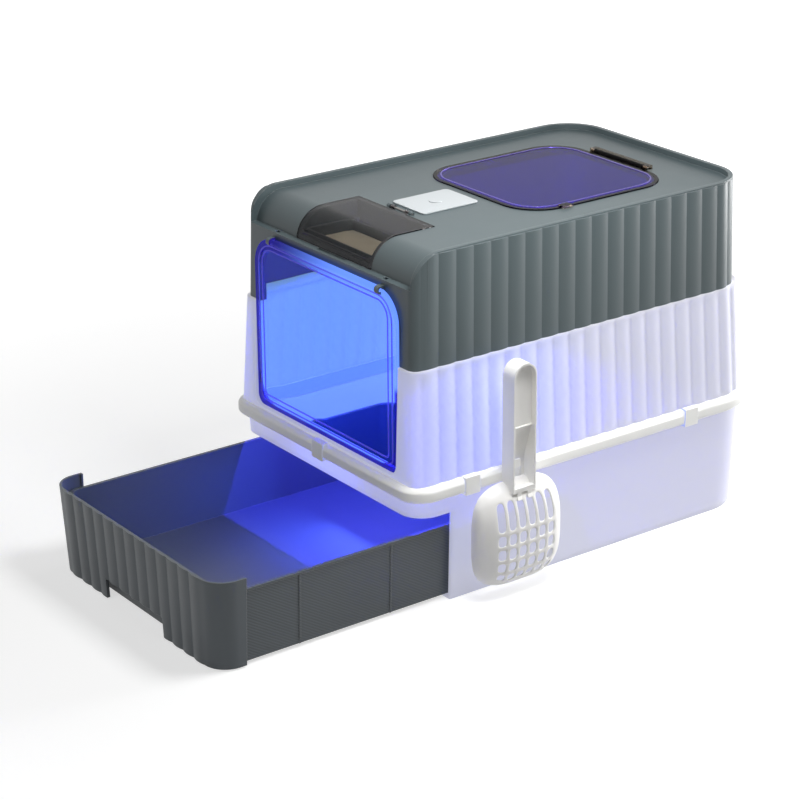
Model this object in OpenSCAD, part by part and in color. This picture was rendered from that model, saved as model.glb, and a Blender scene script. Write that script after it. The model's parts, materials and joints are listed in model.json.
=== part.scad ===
// Drawer litter box: a covered cat toilet with a pull-out litter tray, a clear front
// door, a top hatch, a lamp module and a scoop that hangs on its side.
// Millimetres. The floor is z = 0, the front faces -Y and the scoop side is +X.
// The origin is the centre of the box's footprint; the tray is shown part way out.

/* [Body] */
// Length over the rim band, front to rear
body_l = 520; // [460:5:620]
// Width over the rim band
body_w = 362; // [320:2:440]
// Height of the hood's rim above the floor
body_h = 398; // [370:2:480]
// Height of the rim band's top face
band_top = 144; // [136:1:180]
// Height of the seam between mid shell and hood
seam_z = 272; // [250:1:300]
// Height of the rim band
band_h = 17; // [12:1:22]
// How far the rim band stands out of the shell
band_out = 9; // [6:0.5:12]
// Wall thickness of base, mid shell and hood
wall = 2.6; // [2:0.1:3.6]
// Plan radius of the rear corners
rear_r = 58; // [40:1:75]
// Plan radius of the hood's and mid shell's front corners
front_r = 12; // [6:1:20]
// Draft of the mid shell's sides over its height
mid_draft_x = 9; // [4:0.5:12]
// Draft of the mid shell's ends over its height
mid_draft_y = 4; // [2:0.5:6]
// Draft of the hood over its height
hood_draft = 3; // [1:0.5:5]
// Draft of the base tub over its height
base_draft = 3.5; // [1:0.5:5]
// Width of the ledge on which the hood stands
seam_step = 3; // [2:0.5:4]
// Height of the upstand inside the hood's lower edge
upstand_h = 8; // [5:1:12]

/* [Snap clips] */
// Distance of the front pair of side clips behind the rim band's front
clip_front = 79; // [70:1:110]
// Distance of the rear pair of side clips in front of the rim band's rear
clip_rear = 123; // [90:1:150]
// Half width of a snap clip
clip_hw = 10; // [7:0.5:14]
// Thickness of a snap clip
clip_t = 2.2; // [2:0.1:3]

/* [Reeds] */
// Spacing of the upright reeds
reed_pitch = 23.2; // [16:0.2:32]
// Spacing of the reeds on the drawer front
front_pitch = 20.7; // [14:0.1:30]
// Rise of a reed from the grooves at its sides to its crown
reed_depth = 1.6; // [0.8:0.1:2.2]

/* [Hood top] */
// Depth of the recessed top panel below the rim
panel_drop = 6.5; // [4:0.5:9]
// Width of the rim round the top panel
rim_w = 7; // [5:0.5:10]
// Drop from the rim to the ledge over the door
ledge_drop = 38; // [32:1:44]
// Depth of the ledge over the door
ledge_d = 8; // [6:0.5:12]
// Radius of the panel's curve down to the ledge
panel_r = 35; // [28:1:38]

/* [Front door] */
// Gap in plan between the door's edge and the hood's side
door_margin = 25; // [18:1:40]
// Height of the door's lower edge above the rim band
door_foot = 4; // [3.5:0.5:10]
// Thickness of the door
door_t = 3; // [2:0.2:4]
// Radius of the door's top corners
door_r = 35; // [20:1:45]
// Radius of the door's bottom corners
door_foot_r = 12; // [6:1:20]
// Overlap of the door on the frame of its opening
door_lap = 5; // [5:0.5:10]
// Wall of the frame round the door's edge
jamb_t = 2; // [1.6:0.1:2.6]
// Radius of the hinge barrel
barrel_r = 4; // [3.5:0.1:5]
// Radius of the moulded hinge pins
door_pin_r = 2; // [1.5:0.1:2.5]
// Half length of the hinge barrel
barrel_hl = 98; // [70:1:102]

/* [Hatch] */
// Gap in plan between the hatch recess and the hood's side
hatch_margin = 54; // [44:1:70]
// Gap in plan between the hatch recess and the hood's rear
hatch_rear_margin = 69; // [60:1:90]
// Gap between the lamp cover and the hatch recess
hatch_gap = 12; // [8:1:20]
// Corner radius of the hatch recess
hatch_r = 47; // [30:1:60]
// Depth of the hatch recess
hatch_recess = 2.4; // [2:0.1:3]
// Thickness of the hatch lid
lid_t = 3.4; // [2.6:0.1:4]
// Half length of the hatch hinge bar
hatch_bar_hl = 50; // [36:1:60]
// Radius of the hatch and visor hinge pins
pin_r = 1.4; // [1:0.1:1.6]

/* [Visor] */
// Half width of the visor
visor_hw = 70; // [55:1:85]
// Length of the visor's flat part behind its curve
visor_flat = 50; // [40:1:60]
// Thickness of the visor
visor_t = 2.4; // [2:0.1:3]
// How far the visor stands above the panel
visor_proud = 1; // [0.5:0.1:1.5]
// Distance of the visor's hinge axis behind its rear edge
visor_hinge_gap = 6; // [5:0.5:8]

/* [Deodoriser] */
// Half width of the deodoriser box
filter_hw = 60; // [45:1:62]
// Length of the deodoriser box
filter_l = 62; // [50:1:66]
// Height of the deodoriser box
filter_h = 21; // [16:1:26]
// Wall thickness of the deodoriser box
filter_wall = 1.6; // [1.2:0.1:2]

/* [Lamp module] */
// Length of the lamp cover
cover_l = 78; // [72:1:90]
// Width of the lamp cover
cover_w = 60; // [56:1:70]
// Thickness of the lamp cover
cover_t = 1.8; // [1.5:0.1:2.5]
// Depth of the lamp housing under the panel
housing_h = 24; // [23:0.5:30]
// Wall thickness of the lamp housing
housing_wall = 1.6; // [1.2:0.1:2]
// Radius of the push button
button_r = 7; // [5:0.5:9]
// Travel of the push button
button_travel = 0.6; // [0.4:0.1:1]

/* [Drawer] */
// Distance by which the drawer stands out of the box as shown
drawer_out = 255; // [0:5:340]
// Clearance between the drawer tray and the base wall
drawer_side_gap = 4; // [3:0.5:6]
// Clearance between the closed drawer and the rear wall
drawer_rear_gap = 24; // [10:1:40]
// Drop from the header's lower edge to the tray's rim
tray_drop = 17; // [12:1:30]
// Wall thickness of the drawer
drawer_wall = 2.4; // [2:0.1:3.2]
// Height of the header over the drawer
header_h = 21; // [14:1:26]
// Distance from the box's front to the base's front jambs
jamb_back = 48; // [46:1:60]
// Depth of the drawer front's cheeks
cheek = 41; // [30:1:44]
// Plan radius of the drawer front's corners
fascia_r = 27; // [16:1:32]
// Depth of the finger space behind the drawer front
grip_d = 16; // [12:1:24]
// Half width of the handle notch
notch_hw = 59; // [45:1:80]
// Height of the handle notch
notch_h = 23; // [16:1:30]

/* [Scoop] */
// Distance of the scoop's centre line in front of the box's centre
scoop_front = 127; // [110:1:140]
// Width of the scoop's handle
handle_w = 31.5; // [24:0.5:38]
// Depth of the handle's channel
handle_d = 20; // [14:1:24]
// Length of the handle above the rim band
handle_rise = 125; // [90:1:150]
// Half width of the bowl's mouth
bowl_hw = 60; // [45:1:64]
// Depth of the bowl
bowl_d = 30; // [22:1:38]
// Height of the bowl's tip above the floor
bowl_clear = 9; // [4:1:20]
// Wall thickness of the scoop
scoop_wall = 2.2; // [1.8:0.1:3]

/* [Hidden] */

// Finishes
shell_white = [0.86, 0.86, 0.95];
band_cream = [0.90, 0.90, 0.86];
hood_grey = [0.40, 0.45, 0.45];
door_blue = [0.25, 0.35, 0.95, 0.6];
hatch_violet = [0.35, 0.30, 0.62, 0.7];
smoke_brown = [0.30, 0.28, 0.24, 0.7];
cover_white = [0.90, 0.92, 0.91];
drawer_olive = [0.31, 0.33, 0.31];
scoop_white = [0.88, 0.88, 0.85];
steel_grey = [0.70, 0.71, 0.73];
charcoal_black = [0.10, 0.10, 0.11];
board_green = [0.10, 0.35, 0.20];
cell_blue = [0.15, 0.30, 0.55];

// Clearances and small common values
fit = 0.3;
run_fit = 0.06;
over = 1;
far = 700;
arc_steps = 10;
reed_steps = 6;
$fn = 64;

rim_front_r = 30;

// Sections of the body, each [half width, half length, front radius, rear radius]
rim_section = [body_w / 2, body_l / 2, rim_front_r, rear_r + band_out];
mid_section = [body_w / 2 - band_out, body_l / 2 - band_out, front_r, rear_r];
mid_top = [mid_section[0] - mid_draft_x, mid_section[1] - mid_draft_y, front_r, rear_r];
hood_section = [mid_top[0] - seam_step, mid_top[1] - seam_step, front_r - 2, rear_r - seam_step];
hood_top = inset(hood_section, hood_draft);
upstand = inset(hood_section, wall + fit);
base_inset = 0.5;
base_front_r = 28;
base_section = [mid_section[0] - base_inset - base_draft, mid_section[1] - base_inset - base_draft,
    base_front_r, rear_r];
floor_t = wall;

// Snap clips
clip_in = 1.8;
clip_hook = 8;
clip_side_y = [clip_front - rim_section[1], rim_section[1] - clip_rear];

// Levels
band_bottom = band_top - band_h;
header_z = band_bottom - header_h;
ledge_z = body_h - ledge_drop;
panel_z = body_h - panel_drop;
rim_bevel = 2;
mid_h = seam_z - band_top;
hood_h = body_h - seam_z;

// The front corner of the hood: the rim's rounding and the panel's curve
rim_round_r = ledge_drop;
rim_round_y = rim_round_r - hood_top[1] - 0.5;
panel_cz = panel_z - panel_r;
panel_cy = panel_r + ledge_d - hood_top[1];
rim_inner = hood_top[0] - rim_w;

// Front door and its hinge
door_hw = hood_section[0] - door_margin;
door_gap = 0.4;
door_edge_gap = 0.6;
door_seat = -hood_section[1];
door_back = door_seat - door_gap;
door_z0 = band_top + door_foot;
hinge_z = ledge_z - 10;
door_z1 = hinge_z + 2;
hinge_face = hood_section[1] - hood_draft * (hinge_z - barrel_r - seam_z) / hood_h;
hinge_y = -hinge_face - barrel_r - door_gap;
lug_l = 6;
lug_r = barrel_r + 0.6;
lug_x = barrel_hl + 1.5;
opening_hw = door_hw - door_lap;
opening_z0 = door_z0 + door_lap - 1;
opening_z1 = hinge_z - 10;
collar_t = 5;
collar_back = 6 - hood_top[1];
collar_low_back = door_seat + 5;
opening_r = door_r - door_lap;
bead_in = 8;
bead_w = 1.6;
bead_h = 0.8;
magnet = [2.6, 1.5, 15];
magnet_x = -opening_hw - door_lap / 2;
magnet_z = door_z0 + 24;

// Hood openings, in plan
visor_rear = panel_cy + visor_flat;
visor_axis_y = visor_rear + visor_hinge_gap;
visor_axis_z = panel_z + 0.6;
cover_y0 = visor_axis_y + 9;
cover_y1 = cover_y0 + cover_l;
hatch_hw = hood_top[0] - hatch_margin;
hatch_y0 = cover_y1 + hatch_gap;
hatch_y1 = hood_top[1] - hatch_rear_margin;
hatch_lap = 11;
frame_t = 4;
lid_z0 = panel_z - hatch_recess + fit;
lid_z1 = lid_z0 + lid_t;
lid_axis_y = hatch_y1 + 5;
lid_axis_z = panel_z + 1.6;
knuckle_r = 3;
knuckle_gap = 0.4;
end_lug = 7;

visor_lug_x = 17.5;
visor_lug_w = 4.5;
visor_knuckle_x = 10;

// Deodoriser bay under the visor
bay_hw = visor_hw - 6;
filter_y0 = panel_cy - 27;
filter_z1 = panel_z - 20;
rail_in = 3.5;
rail_t = 3;

// Lamp module
cover_y = (cover_y0 + cover_y1) / 2;
housing_hw = cover_w / 2 - 4;
housing_hl = cover_l / 2 - 4;
housing_z = panel_z - housing_h;
boss_r = 2.6;
screw_r = 1.1;
screw_x = housing_hw - housing_wall - boss_r;
screw_y = housing_hl - housing_wall - boss_r;
lens_hw = 14;
lens_hl = 26;
lens_t = 2;
board_t = 1.6;
cell_r = 8.5;
cell_l = 50;
stem_r = 1.8;

// Drawer, given in its closed place and drawn at drawer_out
base_inner = base_section[0] - wall;
tray_hw = base_inner + base_draft * 0.6 - drawer_side_gap;
tray_draft = 3;
jamb_y = jamb_back - mid_section[1];
tray_rear = base_section[1] - wall - drawer_rear_gap;
rail_h = 1.4;
floor_rail_x = base_inner - 56;
tray_z0 = floor_t + rail_h + fit;
tray_z1 = header_z - tray_drop;
fascia_hw = mid_section[0] - 2.5;
fascia_draft = 4.5;
fascia_z0 = 2;
fascia_z1 = header_z - 2;
fascia_y = -mid_section[1];
tray_front = fascia_y + fascia_draft + drawer_wall + grip_d - 5;
rib_y = jamb_y + 62;
rib_pitch = 118;
tray_lip = 1.4;
tray_lip_h = 3;
tray_front_r = 12;
tray_rear_r = 24;
grip_rib_x = 95;

// Scoop
scoop_x = body_w / 2 + 1.2;
scoop_y = -scoop_front;
hook_z = band_top + 5.6;
hole_hw = 9;
hole_z0 = band_bottom + 3;
handle_rib_z = band_top + 50;
bowl_mid = band_bottom - 42;
bowl_top = bowl_mid + 49;
bowl_R = arc_radius(bowl_hw, bowl_d);
bowl_axis = scoop_x + bowl_d - bowl_R;
bowl_up_r = arc_radius(bowl_top - bowl_mid, bowl_d);
bowl_down_r = arc_radius(bowl_mid - bowl_clear, bowl_d);
slot_w = 8.5;
slot_cols = 7;
slot_step = 12.5;
slot_rows = [[7, 36], [-19, 1], [-39, -25], [-57, -45]];

// Radius of an arc with half chord h and rise d
function arc_radius(h, d) = (h * h + d * d) / (2 * d);

// A section drawn in by t all round
function inset(s, t) = [s[0] - t, s[1] - t, max(s[2] - t, 1), max(s[3] - t, 1)];

// Rectangle from x = -hw to hw and y = a to b, with radius ra at the a end and rb at the b end
module rounded(hw, a, b, ra, rb) {
    mid = (a + b) / 2;
    translate([-hw, a + ra]) square([2 * hw, b - rb - a - ra]);
    translate([ra - hw, a]) square([2 * (hw - ra), mid - a]);
    translate([rb - hw, mid]) square([2 * (hw - rb), b - mid]);
    for (side = [-1, 1]) {
        translate([side * (hw - ra), a + ra]) circle(ra);
        translate([side * (hw - rb), b - rb]) circle(rb);
    }
}

// Points of a quarter arc of radius r about [x, y] that starts at angle a0
function quarter(x, y, r, a0, last = arc_steps) = [for (i = [0 : last])
    [x + r * cos(a0 + 90 * i / arc_steps), y + r * sin(a0 + 90 * i / arc_steps)]];

// The same outline as rounded(), as one polygon for drafted blocks and hulls
module rounded_polygon(hw, a, b, ra, rb) {
    polygon(concat(quarter(hw - rb, b - rb, rb, 0), quarter(rb - hw, b - rb, rb, 90),
        quarter(ra - hw, a + ra, ra, 180), quarter(hw - ra, a + ra, ra, 270)));
}

// Plan outline of a section
module outline(s) {
    rounded_polygon(s[0], -s[1], s[1], s[2], s[3]);
}

// Upright block of height h whose plan shrinks by dx and dy from bottom to top
module drafted(s, h, dx, dy) {
    linear_extrude(height = h, slices = 1, scale = [(s[0] - dx) / s[0], (s[1] - dy) / s[1]])
        children();
}

// Hollow for a drafted block: the same taper, running past both ends
module drafted_hollow(s, h, dx, dy) {
    grow = over / h;
    longer = [s[0] + dx * grow, s[1] + dy * grow, s[2], s[3]];
    translate([0, 0, -over]) drafted(longer, h + 2 * over, dx * (1 + 2 * grow), dy * (1 + 2 * grow))
        outline(longer);
}

// Extrusion of a drawing in Y and Z along X, centred, w long
module along_x(w) {
    rotate([90, 0, 90]) translate([0, 0, -w / 2]) linear_extrude(w) children();
}

// Extrusion of a drawing in X and Z along Y, from y0 to y1
module along_y(y0, y1) {
    translate([0, y1, 0]) rotate([90, 0, 0]) linear_extrude(y1 - y0) children();
}

// Round bar along X, centred, at height z and depth y
module bar_x(r, l, y, z) {
    translate([-l / 2, y, z]) rotate([0, 90, 0]) cylinder(r = r, h = l);
}

// Box from corner a to corner b
module block(a, b) {
    translate(a) cube(b - a);
}

// Points of one convex reed with its crown at p, facing angle a, w wide; its last point is left
// to the reed or corner that follows it
function reed(p, a, w, rise = reed_depth) = [for (i = [0 : reed_steps - 1])
    let (t = 2 * i / reed_steps - 1, x = -rise * t * t, y = w / 2 * t)
    [p[0] + x * cos(a) - y * sin(a), p[1] + x * sin(a) + y * cos(a)]];

// Points of the reeds round a rear corner of outer radius r about c, from angle a0 on
function corner_reeds(c, r, a0) = let (n = round(PI / 2 * r / reed_pitch), step = 90 / n,
    foot = r - reed_depth, w = 2 * foot * sin(step / 2), rise = r - foot * cos(step / 2))
    [for (i = [0 : n - 1]) let (a = a0 + step * (i + 0.5))
        each reed([c[0] + r * cos(a), c[1] + r * sin(a)], a, w, rise)];

// Points of n reeds in a row from p to q, facing angle a
function reed_row(p, q, a, n) = [for (i = [0 : n - 1])
    each reed(p + (q - p) * (i + 0.5) / n, a, norm(q - p) / n)];

// Outline of a section with reeds along both sides, round the rear corners and along the rear
module reeded_outline(s) {
    run0 = s[2] - s[1];
    run1 = s[1] - s[3];
    rear = s[0] - s[3];
    side_n = round((run1 - run0) / reed_pitch);
    rear_n = round(2 * rear / reed_pitch);
    front = s[0] - reed_depth - s[2];
    polygon(concat(quarter(front, run0, s[2], 270, arc_steps - 1),
        reed_row([s[0], run0], [s[0], run1], 0, side_n), corner_reeds([rear, run1], s[3], 0),
        reed_row([rear, s[1]], [-rear, s[1]], 90, rear_n), corner_reeds([-rear, run1], s[3], 90),
        reed_row([-s[0], run1], [-s[0], run0], 180, side_n), quarter(-front, run0, s[2], 180)));
}

// Base tub with its open front, the header over the drawer and two floor rails
module base_tub() {
    color(shell_white) {
        difference() {
            drafted(base_section, band_bottom, -base_draft, -base_draft)
                outline(base_section);
            translate([0, 0, floor_t])
                drafted(inset(base_section, wall), band_bottom, -base_draft, -base_draft)
                    outline(inset(base_section, wall));
            block([-far, -far, -over], [far, jamb_y, header_z]);
        }
        for (side = [0, 1]) mirror([side, 0, 0])
            block([floor_rail_x - 5, jamb_y + 6, floor_t],
                [floor_rail_x + 5, tray_rear, floor_t + rail_h]);
    }
}

// Rim band between base and mid shell, with a pocket behind each snap clip
module rim_band() {
    edge = 4;
    skin = 0.5;
    color(band_cream) difference() {
        hull() {
            translate([0, 0, band_bottom]) linear_extrude(skin)
                outline(inset(rim_section, edge));
            translate([0, 0, band_bottom + edge]) linear_extrude(band_h - 2 * edge)
                outline(rim_section);
            translate([0, 0, band_top - skin]) linear_extrude(skin)
                outline(inset(rim_section, edge));
        }
        translate([0, 0, band_bottom - over]) linear_extrude(band_h + 2 * over)
            outline(inset(mid_section, 6));
        at_clips() block([-clip_in, -clip_hw - fit, -over], [over, clip_hw + fit, band_h + over]);
    }
}

// Places of the snap clips: front, rear and two on each side, with +X outward
module at_clips() {
    translate([0, -rim_section[1], band_bottom]) rotate(-90) children();
    translate([0, rim_section[1], band_bottom]) rotate(90) children();
    for (y = clip_side_y) {
        translate([rim_section[0], y, band_bottom]) children();
        translate([-rim_section[0], y, band_bottom]) rotate(180) children();
    }
}

module snap_clips() {
    outer = clip_t - clip_in;
    color(band_cream) at_clips() {
        block([-clip_in, -clip_hw, -clip_t], [outer, clip_hw, band_h + clip_t]);
        block([-clip_hook, -clip_hw, band_h], [outer, clip_hw, band_h + clip_t]);
        block([-clip_hook, -clip_hw, -clip_t], [outer, clip_hw, 0]);
    }
}

// Outline of the door opening, in X and Z, grown by t
module opening_outline(t) {
    rounded(opening_hw + t, opening_z0 - t, opening_z1 + min(t, 4.5), 4 + t, opening_r + t);
}

// Outline of the door, in X and Z, grown by t
module door_outline(t) {
    rounded(door_hw + t, door_z0 - t, door_z1 + t, door_foot_r + t, door_r + t);
}

// Hole in the front walls in which the upper door frame sits
module door_frame_hole() {
    along_y(-far, collar_back + over) opening_outline(collar_t + run_fit);
}

// Hole in the mid shell's front wall for the lower door frame, grown by t
module low_frame_outline(t) {
    intersection() {
        door_outline(door_edge_gap + jamb_t + t);
        translate([-far, 0]) square([2 * far, seam_z]);
    }
}

// Part of the door frame in the hood, on which the closed door lies
module door_frame_top() {
    color(hood_grey) difference() {
        intersection() {
            along_y(door_seat, collar_back) opening_outline(collar_t);
            block([-far, -far, seam_z], [far, far, far]);
        }
        opening_cut();
    }
}

// Part of the door frame in the mid shell: the seat of the door and a wall round its edge
module door_frame_low() {
    lean = [[-mid_section[1], band_top], [-mid_top[1], seam_z], [0, seam_z], [0, band_top]];
    color(shell_white) difference() {
        intersection() {
            along_y(-far, collar_low_back) low_frame_outline(0);
            along_x(far) polygon(lean);
        }
        along_y(-far, door_seat) door_outline(door_edge_gap);
        opening_cut();
        keeper_pocket();
    }
}

// Mid shell: reeded walls with the seam ledge and the upstand
module mid_shell() {
    color(shell_white) difference() {
        union() {
            mid_walls();
            translate([0, 0, seam_z - over]) linear_extrude(upstand_h + over) outline(upstand);
        }
        translate([0, 0, band_top]) linear_extrude(far) outline(inset(upstand, wall));
        door_frame_hole();
        along_y(-far, collar_low_back + over) low_frame_outline(run_fit);
    }
}

// Walls of the mid shell, closed at the top by the seam ledge
module mid_walls() {
    translate([0, 0, band_top]) difference() {
        drafted(mid_section, mid_h, mid_draft_x, mid_draft_y) reeded_outline(mid_section);
        intersection() {
            drafted_hollow(inset(mid_section, wall), mid_h, mid_draft_x, mid_draft_y);
            block([-far, -far, -far], [far, far, mid_h - wall]);
        }
    }
}

// Hole of the door opening through the front walls
module opening_cut() {
    along_y(-far, collar_back + over) opening_outline(0);
}

module keeper_pocket() {
    translate([magnet_x - magnet[0] / 2, door_seat - over, magnet_z])
        cube([magnet[0], magnet[1] + over, magnet[2]]);
}

// Region under the top panel's surface, lowered by t, in Y and Z
module under_panel(t) {
    translate([panel_cy, panel_cz]) circle(panel_r - t);
    translate([panel_cy, 0]) square([far, panel_z - t]);
    translate([-far, 0]) square([2 * far, ledge_z - t]);
}

// Solid of the hood before its hollows are cut
module hood_blank() {
    translate([0, 0, seam_z]) drafted(hood_section, hood_h - rim_bevel, hood_draft, hood_draft)
        reeded_outline(hood_section);
    translate([0, 0, body_h - rim_bevel - over]) linear_extrude(rim_bevel + over)
        outline(inset(hood_top, reed_depth));
}

// Waste in front of the rounded front edge of the rim
module front_rounding() {
    along_x(far) difference() {
        translate([rim_round_y - far, ledge_z]) square([far, far]);
        translate([rim_round_y, ledge_z]) circle(rim_round_r);
    }
}

// Plan of the top panel inside the rim, open to the front
module panel_plan() {
    rounded(rim_inner, -far, hood_top[1] - rim_w, over, rear_r - seam_step - hood_draft - rim_w);
}

module top_recess() {
    difference() {
        translate([0, 0, ledge_z - over]) linear_extrude(far) panel_plan();
        along_x(far) under_panel(0);
    }
}

module hood_cavity() {
    intersection() {
        translate([0, 0, seam_z])
            drafted_hollow(inset(hood_section, wall), hood_h, hood_draft, hood_draft);
        along_x(far) under_panel(wall);
    }
}

// Room for the deodoriser box and the air round it, from the cavity up to the visor
module filter_bay() {
    rail_z = filter_z1 - filter_wall;
    block([-bay_hw, -far, 0], [bay_hw, visor_rear - 6, rail_z - rail_t]);
    block([-bay_hw, panel_cy - panel_r + 4, rail_z], [bay_hw, visor_rear - 6, far]);
    block([rail_in - bay_hw, panel_cy - panel_r + 4, 0], [bay_hw - rail_in, visor_rear - 6, far]);
}

// Shell of the visor: its curve and flat, from radius r0 to r1, in Y and Z
module visor_profile(r0, r1, rear) {
    translate([panel_cy, panel_cz]) intersection() {
        difference() {
            circle(r1);
            circle(r0);
        }
        translate([-far, 0]) square([far, far]);
    }
    translate([panel_cy, panel_cz + r0]) square([rear - panel_cy, r1 - r0]);
}

// Seat of the visor in the panel and its curve
module visor_seat() {
    r1 = panel_r + visor_proud;
    intersection() {
        along_x(2 * (visor_hw + fit)) visor_profile(r1 - visor_t - fit, panel_r + 5, visor_rear + fit);
        block([-far, -far, ledge_z], [far, far, far]);
    }
}

// Pocket for the visor's knuckles, from height z up
module knuckle_pocket(z) {
    block([knuckle_gap - visor_lug_x, visor_rear - over, z],
        [visor_lug_x - knuckle_gap, visor_axis_y + 3.4, far]);
}

// Frame under the panel: the walls of the deodoriser bay with a rail along each side, and the
// floor of the visor's knuckle pocket
module deodoriser_rails() {
    bay_rear = visor_rear - 6;
    floor_hw = visor_lug_x + visor_lug_w + 8;
    color(hood_grey) difference() {
        intersection() {
            along_x(far) under_panel(wall + run_fit);
            union() {
                block([-bay_hw - wall, panel_cy - panel_r, filter_z1 - filter_wall - rail_t],
                    [bay_hw + wall, bay_rear + wall, panel_z]);
                block([-floor_hw, bay_rear, panel_z - wall - frame_t],
                    [floor_hw, visor_axis_y + 6, panel_z]);
            }
        }
        filter_bay();
        visor_seat();
        knuckle_pocket(panel_z - hatch_recess);
    }
}

module hood() {
    color(hood_grey) difference() {
        union() {
            difference() {
                hood_blank();
                front_rounding();
                top_recess();
                hood_cavity();
            }
            hinge_lugs();
            visor_lugs();
        }
        door_frame_hole();
        bar_x(door_pin_r + run_fit, far, hinge_y, hinge_z);
        bar_x(pin_r + run_fit, 2 * visor_lug_x + 2 * lug_l, visor_axis_y, visor_axis_z);
        translate([0, 0, seam_z]) linear_extrude(far) hatch_plan();
        intersection() {
            filter_bay();
            block([-far, panel_cy - panel_r, filter_z1 - filter_wall - rail_t - over], [far, far, far]);
        }
        visor_seat();
        knuckle_pocket(seam_z);
        translate([0, 0, housing_z - over]) linear_extrude(far)
            rounded(housing_hw + fit, cover_y - housing_hl - fit, cover_y + housing_hl + fit, 3, 3);
        ledge_slots();
        finger_dip();
    }
}

// Shallow dip in the ledge that lets a finger under the visor's edge
module finger_dip() {
    dip_hw = 26;
    dip_d = 1.6;
    block([-dip_hw, -hood_top[1] + 2.5, ledge_z - dip_d], [dip_hw, panel_cy - panel_r, ledge_z + over]);
}

// Two small slots in the ledge over the ends of the door's hinge
module ledge_slots() {
    slot_hw = 3.5;
    slot_x = lug_x + 2;
    for (side = [0, 1]) mirror([side, 0, 0])
        block([slot_x - slot_hw, -hood_top[1] + 2.5, ledge_z - wall - over],
            [slot_x + slot_hw, -hood_top[1] + 6.5, ledge_z + over]);
}

// Lugs on the hood that hold the door's hinge pins
module hinge_lugs() {
    for (side = [0, 1]) mirror([side, 0, 0]) {
        translate([lug_x, hinge_y, hinge_z]) rotate([0, 90, 0]) cylinder(r = lug_r, h = lug_l);
        block([lug_x, hinge_y, hinge_z - lug_r], [lug_x + lug_l, -hood_top[1] + 1, hinge_z + lug_r]);
    }
}

// Two lugs on the panel that hold the visor's pin
module visor_lugs() {
    for (side = [0, 1]) mirror([side, 0, 0]) {
        translate([visor_lug_x, visor_axis_y, visor_axis_z]) rotate([0, 90, 0])
            cylinder(r = knuckle_r, h = visor_lug_w);
        block([visor_lug_x, visor_axis_y - knuckle_r, panel_z - wall],
            [visor_lug_x + visor_lug_w, visor_axis_y + knuckle_r, visor_axis_z]);
    }
}

// Plan of the recess for the hatch lid, with the pocket for its hinge bar
module hatch_plan() {
    rounded(hatch_hw, hatch_y0, hatch_y1, hatch_r, hatch_r);
    translate([-hatch_bar_hl, hatch_y1 - hatch_lap])
        square([2 * hatch_bar_hl, lid_axis_y + knuckle_r + 4.2 - hatch_y1 + hatch_lap]);
}

// Frame set into the panel from below, on which the hatch lid lies
module hatch_frame() {
    z0 = panel_z - wall - frame_t;
    color(hood_grey) difference() {
        union() {
            translate([0, 0, z0]) linear_extrude(frame_t)
                rounded(hatch_hw + 5, hatch_y0 - 5, hatch_y1 + 16, hatch_r, hatch_r);
            translate([0, 0, z0]) linear_extrude(frame_t + wall) hatch_plan();
        }
        translate([0, 0, panel_z - hatch_recess]) linear_extrude(far) hatch_plan();
        translate([0, 0, z0 - over]) linear_extrude(far)
            rounded(hatch_hw - hatch_lap, hatch_y0 + hatch_lap, hatch_y1 - hatch_lap,
                hatch_r - hatch_lap, hatch_r - hatch_lap);
    }
}

// Clear lid of the top hatch, with a raised line and a hinge knuckle
module hatch_lid() {
    hw = hatch_hw - 2 * fit;
    y0 = hatch_y0 + 2 * fit;
    y1 = hatch_y1 - 2 * fit;
    r = hatch_r - 2 * fit;
    knuckle_l = 2 * (hatch_bar_hl - end_lug - knuckle_gap);
    color(hatch_violet) difference() {
        union() {
            translate([0, 0, lid_z0]) linear_extrude(lid_t) rounded(hw, y0, y1, r, r);
            translate([0, 0, lid_z1 - bead_h]) linear_extrude(2 * bead_h) difference() {
                rounded(hw - bead_in, y0 + bead_in, y1 - bead_in, r - bead_in, r - bead_in);
                rounded(hw - bead_in - bead_w, y0 + bead_in + bead_w, y1 - bead_in - bead_w,
                    r - bead_in - bead_w, r - bead_in - bead_w);
            }
            bar_x(knuckle_r, knuckle_l, lid_axis_y, lid_axis_z);
            block([-knuckle_l / 2, y1 - over, lid_z0], [knuckle_l / 2, lid_axis_y, lid_axis_z]);
        }
        bar_x(pin_r + run_fit, far, lid_axis_y, lid_axis_z);
    }
}

// Hinge bar fixed to the hood behind the hatch: a strip with a lug at each end
module hatch_hinge_bar() {
    z0 = panel_z - hatch_recess;
    y0 = lid_axis_y - knuckle_r;
    y1 = lid_axis_y + knuckle_r + 4;
    top = lid_axis_z + knuckle_r;
    color(smoke_brown) difference() {
        union() {
            block([-hatch_bar_hl + fit, lid_axis_y + knuckle_r + 2 * fit, z0],
                [hatch_bar_hl - fit, y1, top]);
            for (side = [0, 1]) mirror([side, 0, 0])
                block([hatch_bar_hl - end_lug, y0, z0], [hatch_bar_hl - fit, y1, top]);
        }
        bar_x(pin_r + run_fit, far, lid_axis_y, lid_axis_z);
    }
}

module hatch_pin() {
    color(steel_grey) bar_x(pin_r, 2 * (hatch_bar_hl - over), lid_axis_y, lid_axis_z);
}

// Finger tab on the lid's side that snaps over the panel
module hatch_latch() {
    y = hatch_y0 + 52;
    z = lid_z1;
    color(smoke_brown) block([hatch_hw - 7, y - 7, z], [hatch_hw + 4, y + 7, z + 1.8]);
}

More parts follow.
